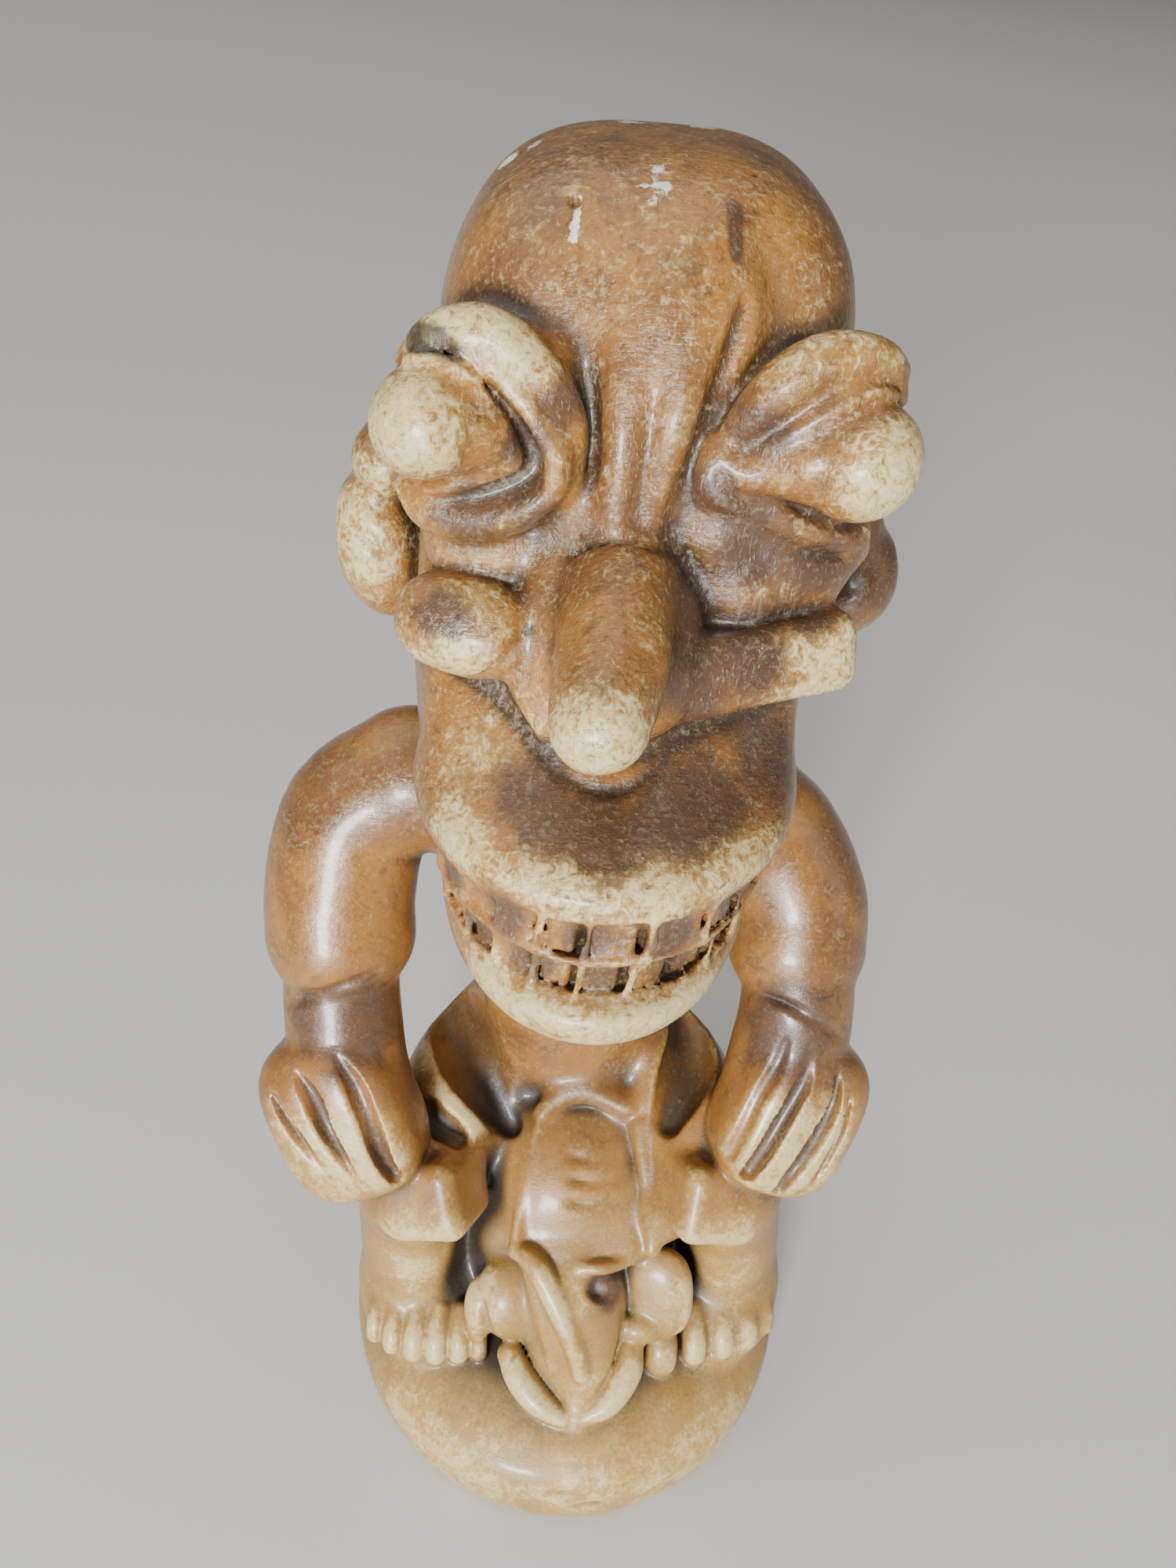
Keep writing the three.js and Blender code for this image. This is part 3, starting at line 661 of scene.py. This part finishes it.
# %% [markdown]
# ## The hand of the carver
# Nothing on the real figure is quite true: every surface wavers by a fraction of a millimetre, edges are
# chipped and the crown is pitted. A sine pattern would look printed, so the waver is a coarse grid of
# random numbers, read through smooth cubic weights. Chips are small flat cuts placed where stone knocks
# against things: the rim of the base, the crown, the lip.

# %% Waver and chips
def cubic_weights(places, spacing, count):
    """Rows of smooth weights that read a coarse grid of that spacing at each place."""
    at = (places - places[0]) / spacing + 1.5
    gap = np.abs(at[:, None] - np.arange(count)[None, :])
    near, far = 2 / 3 - gap ** 2 * (1 - gap / 2), (2 - gap) ** 3 / 6
    return np.where(gap < 1, near, np.where(gap < 2, far, 0)).astype(np.float32)


def waver(block, spacing, seed):
    random = np.random.default_rng(seed)
    counts = [int(len(axis) * block.cell / spacing) + 5 for axis in block.axes]
    coarse = random.standard_normal(counts).astype(np.float32)
    for axis, count in zip(block.axes, counts):
        coarse = np.tensordot(coarse, cubic_weights(axis, spacing, count), axes=([0], [1]))
    return coarse


# how strong, how wide in millimetres, and where the random numbers start
WAVERS = ((0.26, 11, 3), (0.14, 5, 4), (0.06, 2.4, 5))
stone.depth += sum(strength * waver(stone, width, seed) for strength, width, seed in WAVERS)

CHIPS = [
    ((-2, -37.2, 12.5), (4.2, 1.2, 1.6), (20, 0, 0)), ((3.4, -37.4, 9), (3.2, 1, 1.3), (0, 0, 4)),
    ((12, -36, 12), (1.6, 0.9, 1.1), (10, 0, 18)), ((20, -32, 13), (2.2, 1, 1.2), (10, 0, 30)),
    ((1.2, -29.4, 141.2), (2.6, 0.9, 0.45), (0, 0, 3)), ((-2.4, -29.2, 141.4), (1.2, 0.7, 0.4), (0, 0, -6)),
    ((7.4, -28.6, 141.4), (0.9, 0.6, 0.5), (0, 0, 12)), ((-2.6, -27.2, 140.7), (2, 1, 0.5), (0, 0, 6)),
    ((1.4, -27, 140.8), (1.5, 0.8, 0.45), (0, 0, -8)), ((-8.2, 2.2, 190.3), (0.45, 1.5, 0.5), (0, 20, 6)),
    ((-8.3, 0.2, 188.9), (0.4, 1.6, 0.5), (30, 20, 4)), ((-1.2, 4, 192.6), (0.9, 1.3, 0.4), (14, 0, 20)),
    ((-14.2, 17.6, 190.4), (1.6, 1.2, 0.5), (0, -38, 0)),
    ((-17.4, -22, 140.2), (1.3, 0.8, 0.5), (0, 0, -40)), ((-15, -24.4, 140.4), (1, 0.7, 0.5), (0, 0, -35)),
]

CROWN = 193.5
PITS, PIT_SEED = 40, 11
PIT_ACROSS, PIT_HEIGHTS, PIT_SIZES = (-15, 16), (186, 193.4), (0.2, 0.45)
# the front of the skull as a boxy egg: middle, half sizes and squareness
SKULL_AT, SKULL_HALF, SKULL_SQUARE = (0.3, 15, 168), (20.2, 20, 25.6), 2.6


def skull_front(x, z):
    across = abs(x - SKULL_AT[0]) / SKULL_HALF[0]
    up = (z - SKULL_AT[2]) / SKULL_HALF[2]
    left = max(0, 1 - across ** SKULL_SQUARE - up ** SKULL_SQUARE)
    return SKULL_AT[1] - SKULL_HALF[1] * left ** (1 / SKULL_SQUARE)


def chip():
    for centre, radii, turn in CHIPS:
        stone.cut(ball(centre, radii, turn), 0.2)
    random = np.random.default_rng(PIT_SEED)
    for _ in range(PITS):
        x, z = random.uniform(*PIT_ACROSS), random.uniform(*PIT_HEIGHTS)
        size = random.uniform(*PIT_SIZES)
        tilt = random.uniform(-30, 30)
        radii = (size * 1.6, size, size * 0.7)
        stone.cut(ball((x, skull_front(x, z), z), radii, (tilt, 0, 0)), 0.15)


chip()
heights = stone.axes[2][None, None, :]
stone.depth = np.maximum(stone.depth, np.maximum(-heights, heights - CROWN))
print("waver,", len(CHIPS), "chips and", PITS, "pits cut")

# %% [markdown]
# ## From numbers to a skin
# Blender can remesh a volume, but only from an object. We already have the distances, so we find the
# surface ourselves: wherever two neighbours differ in sign the surface passes between them, each cell
# that it passes through gets one point, and each crossing joins four such points into a face. This is
# known as surface nets, and it gives an even, closed skin.

# %% The skin
def skin(block):
    """Points, given in cells, and four-sided faces where the distances change sign."""
    depth, inside = block.depth, block.depth < 0
    shape = np.array(depth.shape)
    stride = np.array([shape[1] * shape[2], shape[2], 1])
    faces, cells, places = [], [], []
    for axis in range(3):
        ahead = [slice(None)] * 3
        behind = [slice(None)] * 3
        ahead[axis], behind[axis] = slice(1, None), slice(None, -1)
        ahead, behind = tuple(ahead), tuple(behind)
        at = np.argwhere(inside[ahead] != inside[behind])
        a, b = depth[behind][tuple(at.T)], depth[ahead][tuple(at.T)]
        crossing = at.astype(float)
        crossing[:, axis] += a / (a - b)
        corner = at @ stride
        u, v = stride[(axis + 1) % 3], stride[(axis + 2) % 3]
        around = np.stack([corner, corner - u, corner - u - v, corner - v], axis=1)
        around[a > 0] = around[a > 0][:, ::-1]
        faces.append(around)
        cells.append(around.ravel())
        places.append(np.repeat(crossing, 4, axis=0))
    faces, cells, places = np.concatenate(faces), np.concatenate(cells), np.concatenate(places)
    used, index = np.unique(cells, return_inverse=True)
    count = np.bincount(index)
    points = np.stack([np.bincount(index, places[:, k]) / count for k in range(3)], axis=1)
    return points, np.searchsorted(used, faces)


def read(grid, points):
    """The value of a grid at points given in cells, blended from the eight corners around each."""
    limit = np.array(grid.shape) - 2
    base = np.clip(np.floor(points).astype(int), 0, limit)
    t = np.clip(points - base, 0, 1)
    total = 0
    for i in (0, 1):
        for j in (0, 1):
            for k in (0, 1):
                share = np.abs(1 - i - t[:, 0]) * np.abs(1 - j - t[:, 1]) * np.abs(1 - k - t[:, 2])
                total = total + share * grid[base[:, 0] + i, base[:, 1] + j, base[:, 2] + k]
    return total


points, faces = skin(stone)
print("skin of", len(points), "points and", len(faces), "faces")

# %% [markdown]
# ## Bending the block
# The figure leans a little to one side between base and crown, as the block was cut. It was easier to
# carve it straight, so the lean goes in now, as one bow of a sine. Then the mesh is thinned where it is
# flat, which keeps the teeth and lids sharp.

# %% The mesh
SWAY, SWAY_FOOT, SWAY_HEAD = 2.9, 25.0, 185.0
BASE_X = 2.35
MOST_TRIANGLES = 190000


def lean(z):
    return BASE_X - SWAY * np.sin(np.pi * np.clip((z - SWAY_FOOT) / (SWAY_HEAD - SWAY_FOOT), 0, 1))


def make_mesh(name, points, faces):
    place = points * CELL + np.array([axis[0] for axis in stone.axes])
    place[:, 0] += lean(place[:, 2])
    mesh = bpy.data.meshes.new(name)
    mesh.vertices.add(len(place))
    mesh.vertices.foreach_set("co", (place * MM).ravel())
    mesh.loops.add(faces.size)
    mesh.loops.foreach_set("vertex_index", faces.ravel())
    mesh.polygons.add(len(faces))
    mesh.polygons.foreach_set("loop_start", np.arange(0, faces.size, 4))
    mesh.update(calc_edges=True)
    mesh.validate()
    return mesh


def thin(mesh):
    """Collapses the least needed edges until the piece is within its triangles."""
    rough = bpy.data.objects.new("rough", mesh)
    bpy.context.scene.collection.objects.link(rough)
    modifier = rough.modifiers.new("thin", "DECIMATE")
    modifier.ratio = min(1.0, MOST_TRIANGLES / (2 * len(mesh.polygons)))
    evaluated = rough.evaluated_get(bpy.context.evaluated_depsgraph_get())
    result = bpy.data.meshes.new_from_object(evaluated)
    bpy.data.objects.remove(rough)
    return result


mesh = thin(make_mesh("carved_rider", points, faces))
mesh.name = "carved_rider"
mesh.polygons.foreach_set("use_smooth", np.ones(len(mesh.polygons), bool))
rider = bpy.data.objects.new("carved_rider", mesh)
bpy.context.scene.collection.objects.link(rider)
print("carved_rider has", len(mesh.polygons), "faces")

# %% [markdown]
# ## Where hands rub, where dust stays and where light and shade are painted
# Polished stone goes pale where fingers and shelves rub it, and dark where wax and dust stay in the
# grooves; grooves and pockets are also given painted shade. A blurred copy of the block tells the two
# apart: at a crest the blur reads as outside, in a groove as inside. We store that on the mesh at two
# sizes, a fine one for creases and a broad one for whole forms. Two more numbers tell how much stone
# stands round a point, for the painted shade of the deep pockets, and how low it lies, since the lower
# half is handled most and is painted paler as a sheen. Worn spots, stains, charcoal and fresh chips are
# soft patches, placed where the figure has them; some of the stains are painted shade, and one row of
# worn spots is a painted highlight. They could be painted, but patches are easier to move.

# %% Wear, dust and painted light
def blurred(grid, radius):
    """The mean over a box, twice over along each axis, which comes close to a soft round blur."""
    n = max(1, int(round(radius / CELL)))
    for axis in range(3):
        for _ in range(2):
            grid = np.moveaxis(grid, axis, 0)
            padded = np.concatenate([grid[:1]] * (n + 1) + [grid] + [grid[-1:]] * n)
            total = np.cumsum(padded, axis=0, dtype=np.float32)
            grid = (total[2 * n + 1:] - total[:-2 * n - 1]) / (2 * n + 1)
            grid = np.moveaxis(grid, 0, axis)
    return grid


count = len(mesh.vertices)
place = np.zeros(count * 3)
mesh.vertices.foreach_get("co", place)
place = place.reshape(-1, 3) / MM
straight = place.copy()
straight[:, 0] -= lean(place[:, 2])
in_cells = (straight - np.array([axis[0] for axis in stone.axes])) / CELL


def store(name, values):
    attribute = mesh.attributes.new(name, "FLOAT", "POINT")
    attribute.data.foreach_set("value", values.astype(np.float32))
    print(name, "from", round(float(values.min()), 2), "to", round(float(values.max()), 2))


def crest(radius):
    """Above zero on crests, below in grooves, for forms of about that size."""
    clipped = np.clip(stone.depth, -2 * radius, 2 * radius)
    return read(blurred(clipped, radius), in_cells) / radius


# how wide a crease, a whole form and a deep pocket are, in millimetres, and how strongly two of them show
CREASE, CREASE_GAIN = 0.9, 3.0
FORM, FORM_GAIN = 3.2, 2.2
POCKET = 6.0
HANDLED_AND_SHEEN_UP_TO = 150
store("fine", np.clip(crest(CREASE) * CREASE_GAIN, -1, 1))
store("broad", np.clip(crest(FORM) * FORM_GAIN, -1, 1))
# how much stone stands round a point, which tells a deep pocket from open ground; it sets the painted shade
# of the pockets
filled = blurred((stone.depth < 0).astype(np.float32), POCKET)
store("deep", np.clip(read(filled, in_cells) * 2 - 1, -1, 1))
# the lower half is handled most, so its mottle is rubbed smooth; the same ramp also paints the lower parts
# paler as a sheen and makes the painted shade of the low pockets stronger
store("handled_and_sheen", np.clip(1 - straight[:, 2] / HANDLED_AND_SHEEN_UP_TO, 0, 1))


# a patch is whole out to the first of these shares of its size, and gone at the second
PATCH_WHOLE, PATCH_GONE = 0.3, 1.7


def stain(name, spots):
    """Soft patches, 1 in the middle, each a place and a size."""
    total = np.zeros(count)
    for x, y, z, radius in spots:
        gap = np.sqrt(((straight - np.array([x, y, z])) ** 2).sum(1)) / radius
        fade = np.clip((PATCH_GONE - gap) / (PATCH_GONE - PATCH_WHOLE), 0, 1)
        total = np.maximum(total, fade ** 2 * (3 - 2 * fade))
    store(name, total)


# pale where it is handled most: eyeballs, lid tops, nose tip, lip, knuckles, knees, feet, trunk and base;
# the last row is a painted highlight along the lit top edge of the left thigh
stain("wear_and_highlight", [
    (-13, -10, 181.5, 4), (-21.6, -12, 177, 5), (-19, -9, 183.8, 3), (21.4, -12, 174, 5),
    (-3, -28, 155.5, 4.5), (-17, -14, 153, 4), (18.6, -12, 153, 5), (-6, -29, 139, 5), (4, -29.5, 138.4, 5),
    (13, -25, 139, 5), (-15, -22, 139, 4), (0, -31, 121.6, 8), (-9, -28, 121.6, 7), (9, -27, 121.6, 7),
    (-34.6, -9, 62, 9), (34.4, -8, 62, 9), (-24, -13, 46, 7), (24, -13, 46, 7), (-1, -18, 38, 5),
    (-14, -9, 161, 4.5), (13, -8, 159.4, 4), (-12, -16, 145, 6), (-15, -12, 30, 6), (15, -12, 30, 6),
    (0, -31, 14, 14), (-6, -26, 22, 7), (6, -26, 22, 7), (-24, -19, 22, 9), (24, -19, 22, 9),
    (-24, -10, 34, 7), (-28, 4, 14, 14), (-24, -26, 12, 12), (-28, 8, 152, 6), (-30, 12, 156, 5),
    (-16, -30, 10, 14), (16, -30, 10, 14), (24, -26, 12, 12), (-24, -14, 30, 8), (24, -12, 32, 8),
    (-24, 12, 61.6, 2), (-23.4, 9, 61, 2), (-21.6, 5, 60.4, 2), (-19, 2.6, 59, 2), (-15.6, 0.8, 56, 2),
])
# dark spots: real stains of wax and dust on the shelf of the lip and in a streak on the forehead, and
# painted shade beside the nose, round the eyes, under the elbows, on the chest and between the teeth
stain("dirt_and_shade", [
    (4.6, -11, 158, 4.5), (5.4, -15, 155, 5), (-5.6, -9, 157, 3.4), (12.0, -12.5, 154.6, 4),
    (6.4, -13.5, 151, 4), (11, -8.4, 163.6, 4), (17, -6.4, 162.4, 4), (-2, -25, 143, 7), (8, -21, 144.5, 7),
    (-8, -20, 144, 5), (16, -14, 144, 5), (-17.6, -12, 158.0, 3), (9.6, -8, 168, 3.4), (-9, -7.6, 177, 2.6),
    (5.2, -14.6, 36, 4), (-33, 3, 79, 9), (32, 4, 79, 8), (13, -8, 156.6, 3.6), (0, 14, 84, 12),
    (30, 10, 152, 8), (27, 4, 146, 6), (-15, -8.5, 166, 4), (-10, -9, 168, 3), (-11, -9, 174, 2.5),
    (6, -8, 170, 3), (9, -8.5, 176, 3), (18, -9, 157, 2.6), (0, -27.4, 127.4, 3), (7, -26.6, 127.4, 3),
    (-7, -26.6, 127.4, 3), (13, -22.5, 128, 3), (-13, -22.5, 128, 3), (-2, -29.5, 133.4, 3),
    (6, -28.5, 133.4, 3), (13, -24, 133.6, 3), (-10, -26.5, 133.6, 3), (-16, -20, 134, 3),
    (18, -17, 134, 3),
] + [(5.2, 1.8 - 0.5 * i, 191.1 - 0.45 * i, 0.9) for i in range(8)])
stain("charcoal", [(-21.1, -6.8, 181.6, 1.5), (-20.1, -7.5, 181.6, 1.4), (-19.1, -7.9, 181.4, 1.5),
                   (-17.9, -8.4, 181.0, 1.2), (-19.9, -7.4, 182.2, 1.0)])
# fresh pale chips on the crown and the forehead, one of them a long thin slit
stain("chip", [
    (-1.3, 5.4, 192.7, 0.8), (-1.1, 3.0, 191.8, 1.0), (-1.6, 1.2, 190.8, 0.5), (-14.7, 18.5, 189.7, 1.4),
    (-12.1, 16.8, 191.6, 0.9), (4.0, 20, 193.2, 1.6), (-3, 20, 193.2, 1.4), (17.0, 6, 184, 0.7),
] + [(-8.1 - 0.05 * i, 2.7 - 0.46 * i, 190.7 - 0.46 * i, 0.5) for i in range(9)])

# %% [markdown]
# ## Writing a material as sums
# A node tree is quickest to read as arithmetic, so one small class wraps a socket and lets plain
# operators add the Math nodes. Any other node comes from `Nodes.make`, which takes its settings and
# the values or links of its sockets.

# %% Node helpers
class Value:
    """A socket that can be added, multiplied and so on, which adds Math nodes."""

    def __init__(self, nodes, socket):
        self.nodes, self.socket = nodes, socket

    def math(self, operation, *others):
        return self.nodes.make("ShaderNodeMath", {"operation": operation}, {
            i: other for i, other in enumerate((self, *others))})

    def __add__(self, other):
        return self.math("ADD", other)

    __radd__ = __add__

    def __mul__(self, other):
        return self.math("MULTIPLY", other)

    __rmul__ = __mul__

    def __sub__(self, other):
        return self.math("SUBTRACT", other)

    def __rsub__(self, other):
        return self.math("MULTIPLY", -1.0).math("ADD", other)

    def clamp(self):
        return self.math("MINIMUM", 1.0).math("MAXIMUM", 0.0)

    def between(self, low, high):
        """0 below low, 1 above high and a smooth rise between them."""
        return self.nodes.make("ShaderNodeMapRange", {"interpolation_type": "SMOOTHSTEP"}, {
            "Value": self, "From Min": low, "From Max": high, "To Min": 0.0, "To Max": 1.0})


class Nodes:
    """One material's nodes."""

    def __init__(self, name):
        self.material = bpy.data.materials.new(name)
        self.material.use_nodes = True
        self.tree = self.material.node_tree
        self.tree.nodes.clear()

    def make(self, kind, settings=None, inputs=None, output=0):
        node = self.tree.nodes.new(kind)
        for key, value in (settings or {}).items():
            setattr(node, key, value)
        for key, value in (inputs or {}).items():
            if isinstance(value, Value):
                self.tree.links.new(value.socket, node.inputs[key])
            else:
                node.inputs[key].default_value = value
        return Value(self, node.outputs[output]) if node.outputs else node

    def attribute(self, name):
        return self.make("ShaderNodeAttribute", {"attribute_name": name}, output=2)

    def noise(self, where, scale, detail, rough, warp=0.0):
        return self.make("ShaderNodeTexNoise", {"noise_dimensions": "3D"}, {
            "Vector": where, "Scale": scale, "Detail": detail, "Roughness": rough, "Distortion": warp})

    def mix(self, amount, a, b):
        """One colour laid over another by an amount."""
        return self.make("ShaderNodeMix", {"data_type": "RGBA"}, {0: amount, 6: a, 7: b}, 2)

    def stretch(self, where, scale, turn=(0, 0, 0)):
        return self.make("ShaderNodeMapping", {}, {"Vector": where, "Scale": scale, "Rotation": turn})


def rgb(text):
    """A colour given as a web hex string, in the linear light that shaders work in."""
    parts = [int(text[i:i + 2], 16) / 255 for i in (0, 2, 4)]
    return (*[c / 12.92 if c <= 0.04045 else ((c + 0.055) / 1.055) ** 2.4 for c in parts], 1.0)


print("node helpers ready")

# %% [markdown]
# ## The stone
# The stone is a warm brown steatite, waxed and handled for years. A painted picture would wrap badly
# round so many lumps, so its colour is a pile of layers that follow the form. Slow clouds of brown and
# ochre lie lowest, then dark patches and runs, plum stains with painted shade among them, a dark tone of
# dust and painted shade in the hollows, and a pale worn tone with cream on the crests and a painted
# highlight on the edge of the left thigh. Flecks, pits, scratches, chips, charcoal and the painted shade
# of the deep pockets come last. The lower half is handled most, so its mottle is weaker, its polish
# duller and its colour painted paler as a sheen. Roughness follows the same layers, and rasp marks and
# scratches are stretched noise.

# %% The stone's material
# the darkest brown stands for dust in the grooves and for painted shade in hollows and pockets
COLOURS = {
    "body": "714a26", "ochre": "9b682c", "umber": "4a321d", "dirt_and_shade": "211712", "plum": "432f27",
    "pale": "b8944c", "cream": "e0d1a2", "ash": "2a2725", "chip": "efe9d8",
}
# three directions for the short scratches of sandpaper and handling
SCRATCHES = ((0.5, 0.2, 0.3), (1.2, 0.4, 1.1), (0.2, 1.1, 0.7))


def soapstone():
    n = Nodes("polished_soapstone")
    where = n.make("ShaderNodeTexCoord", output=3)
    fine, broad, deep, handled_and_sheen = map(n.attribute, ("fine", "broad", "deep", "handled_and_sheen"))
    # the rubbed spots also hold a painted highlight, and the dark spots hold painted shade as well as stains
    wear_and_highlight, stains_and_shade, charcoal, chipped = map(n.attribute, ("wear_and_highlight", "dirt_and_shade", "charcoal", "chip"))
    mottled = 1 - handled_and_sheen.between(0.0, 0.4) * 0.6

    clouds = n.noise(where, 45.0, 5.0, 0.6, 0.8)
    patches = n.noise(where, 170.0, 6.0, 0.62, 1.2)
    leaves = n.noise(n.stretch(where, (1, 1, 0.8)), 800.0, 6.0, 0.66, 1.2)
    specks = n.noise(where, 1700.0, 4.0, 0.6, 0.5)
    grain = n.noise(n.stretch(where, (10.0, 10.0, 1.0), SCRATCHES[0]), 430.0, 2.0, 0.5).between(0.64, 0.74)
    for turn in SCRATCHES[1:]:
        more = n.noise(n.stretch(where, (10.0, 10.0, 1.0), turn), 430.0, 2.0, 0.5)
        grain = grain.math("MAXIMUM", more.between(0.66, 0.76))
    rasp = n.noise(n.stretch(where, (0.35, 6.0, 6.0), (0.3, 0.5, 0.9)), 500.0, 3.0, 0.6)
    runs = n.noise(n.stretch(where, (6.0, 6.0, 1.0)), 60.0, 5.0, 0.6)

    # plum stains: real stains, and painted shade where the dark spots stand for it
    stain = (stains_and_shade * 1.2 + (patches - 0.5) * 1.4 + (leaves - 0.5) * 0.8).between(0.35, 1.05)
    # dark in the grooves from dust, and painted shade in the hollows and deep pockets
    dust_and_painted_shade = (deep * 0.5 + (leaves - 0.5) * 0.9 - (broad + fine) * 0.8).between(0.15, 1.15)
    # pale where worn, and a painted highlight where the spots trace the left thigh's lit edge
    worn_and_lit = (wear_and_highlight * 0.75 + broad * 0.35 + fine * 0.4 - stains_and_shade * 0.5 + (leaves - 0.5) * mottled * 1.5
            + (patches - 0.5) * 1.4).between(0.25, 1.2)
    creamy = (worn_and_lit + ((leaves - 0.5) * 1.9 + (specks - 0.5) * 0.8) * mottled).between(0.45, 1.35)
    flecked = (specks + wear_and_highlight * 0.07 + leaves * 0.5 + (patches - 0.5) * 0.5).between(0.78, 1.0)
    pitted = (specks * 0.6 + leaves * 0.5).between(0.50, 0.42)
    # each layer is a colour and how strongly it lies over the ones before it
    layers = [
        ("ochre", clouds.between(0.35, 0.62)),
        ("umber", patches.between(0.50, 0.70) * 0.6),
        ("pale", leaves.between(0.50, 0.72) * mottled * 0.45),
        ("umber", runs.between(0.5, 0.68) * mottled * 0.45),
        # plum stains, partly real and partly painted shade
        ("plum", stain * 0.8),
        # dust in the grooves and painted shade in the hollows
        ("dirt_and_shade", dust_and_painted_shade * 0.8),
        # pale wear on the crests, and the painted highlight on the left thigh's edge
        ("pale", worn_and_lit * 0.85),
        # a painted sheen that makes the lower parts paler, where the stone is also handled most
        ("pale", handled_and_sheen.between(0.55, 0.8) * (1 - stain) * 0.4),
        ("cream", creamy * 0.65),
        ("cream", flecked * mottled * (1 - stain * 0.6) * 0.28),
        ("umber", pitted * mottled * 0.5),
        ("cream", grain * mottled * 0.2),
        ("chip", (chipped + (specks - 0.5) * 1.2).between(0.5, 0.8) * 0.9),
        ("ash", (charcoal + (leaves - 0.5) * 1.5).between(0.35, 0.75) * 0.85),
        # painted shade in the deep pockets, stronger low down
        ("dirt_and_shade", deep.between(0.1, 0.38) * (0.25 + handled_and_sheen.between(0.0, 0.4) * 0.7)),
    ]
    colour = rgb(COLOURS["body"])
    for name, amount in layers:
        colour = n.mix(amount, colour, rgb(COLOURS[name]))

    rough = 0.23 + (leaves - 0.5) * 0.4 + dust_and_painted_shade * 0.15 + (specks - 0.5) * 0.2 + grain * 0.1 + handled_and_sheen * 0.25
    height = (leaves * 0.6 + specks * 0.4 - grain * 0.12 + rasp * 0.3 + patches * 0.4) * mottled
    bump = n.make("ShaderNodeBump", {}, {"Strength": 0.75, "Distance": 0.0003, "Height": height})
    shader = n.make("ShaderNodeBsdfPrincipled", {}, {
        "Base Color": colour, "Roughness": rough.clamp(), "Normal": bump, "IOR": 1.55,
        "Coat Weight": 0.2, "Coat Roughness": 0.15})
    n.make("ShaderNodeOutputMaterial", {}, {"Surface": shader})
    return n.material


rider.data.materials.append(soapstone())
print("stone finished")

# %% [markdown]
# ## Floor and light
# The figure stands on a pale, plain floor in a quiet room. A wide sheet of light hangs high above it, a
# small soft window low at the front left gives the polished stone its glints, and a weak fill comes from
# the right. One strong lamp would be simpler, but its hard shadow would hide half of the carving.

# %% Floor, light, air
FLOOR_SIZE, FLOOR_COLOUR, FLOOR_ROUGHNESS = 8.0, (0.62, 0.61, 0.59, 1), 0.85
AIR_COLOUR, AIR_STRENGTH = (0.84, 0.84, 0.84, 1), 0.18
# where each light hangs, what it points at, its two sides in metres, its watts and its colour
LIGHTS = {
    "window": ((-0.22, -0.75, 0.24), (0, -0.01, 0.1), (0.22, 0.15), 14.0, (0.95, 0.98, 1.0)),
    "fill": ((0.9, -0.35, 0.5), (0, 0, 0.1), (0.6, 0.6), 1.6, (1.0, 0.96, 0.9)),
    "top": ((-0.8, 0.3, 2.3), (0, 0, 0.1), (3.6, 3.6), 52.0, (1.0, 0.975, 0.93)),
}


def make_floor():
    half = FLOOR_SIZE / 2
    mesh = bpy.data.meshes.new("floor")
    corners = [(-half, -half, 0), (half, -half, 0), (half, half, 0), (-half, half, 0)]
    mesh.from_pydata(corners, [], [(0, 1, 2, 3)])
    floor = bpy.data.objects.new("floor", mesh)
    bpy.context.scene.collection.objects.link(floor)
    n = Nodes("pale_card")
    shader = n.make("ShaderNodeBsdfPrincipled", {}, {
        "Base Color": FLOOR_COLOUR, "Roughness": FLOOR_ROUGHNESS})
    n.make("ShaderNodeOutputMaterial", {}, {"Surface": shader})
    mesh.materials.append(n.material)
    return floor


def make_light(name, place, aim, size, power, colour):
    data = bpy.data.lights.new(name, "AREA")
    data.shape, data.size, data.size_y = "RECTANGLE", size[0], size[1]
    data.energy, data.color = power, colour
    light = bpy.data.objects.new(name, data)
    bpy.context.scene.collection.objects.link(light)
    light.location = place
    light.rotation_euler = (Vector(aim) - Vector(place)).to_track_quat("-Z", "Y").to_euler()


floor = make_floor()
for name, light in LIGHTS.items():
    make_light(name, *light)

world = bpy.data.worlds.new("Air")
bpy.context.scene.world = world
world.use_nodes = True
background = world.node_tree.nodes["Background"]
background.inputs["Color"].default_value = AIR_COLOUR
background.inputs["Strength"].default_value = AIR_STRENGTH
print("floor,", len(LIGHTS), "lights and air made")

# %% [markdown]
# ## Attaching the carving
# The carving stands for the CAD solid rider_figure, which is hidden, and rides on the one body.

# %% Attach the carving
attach(rider, "root")
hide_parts("rider_figure")
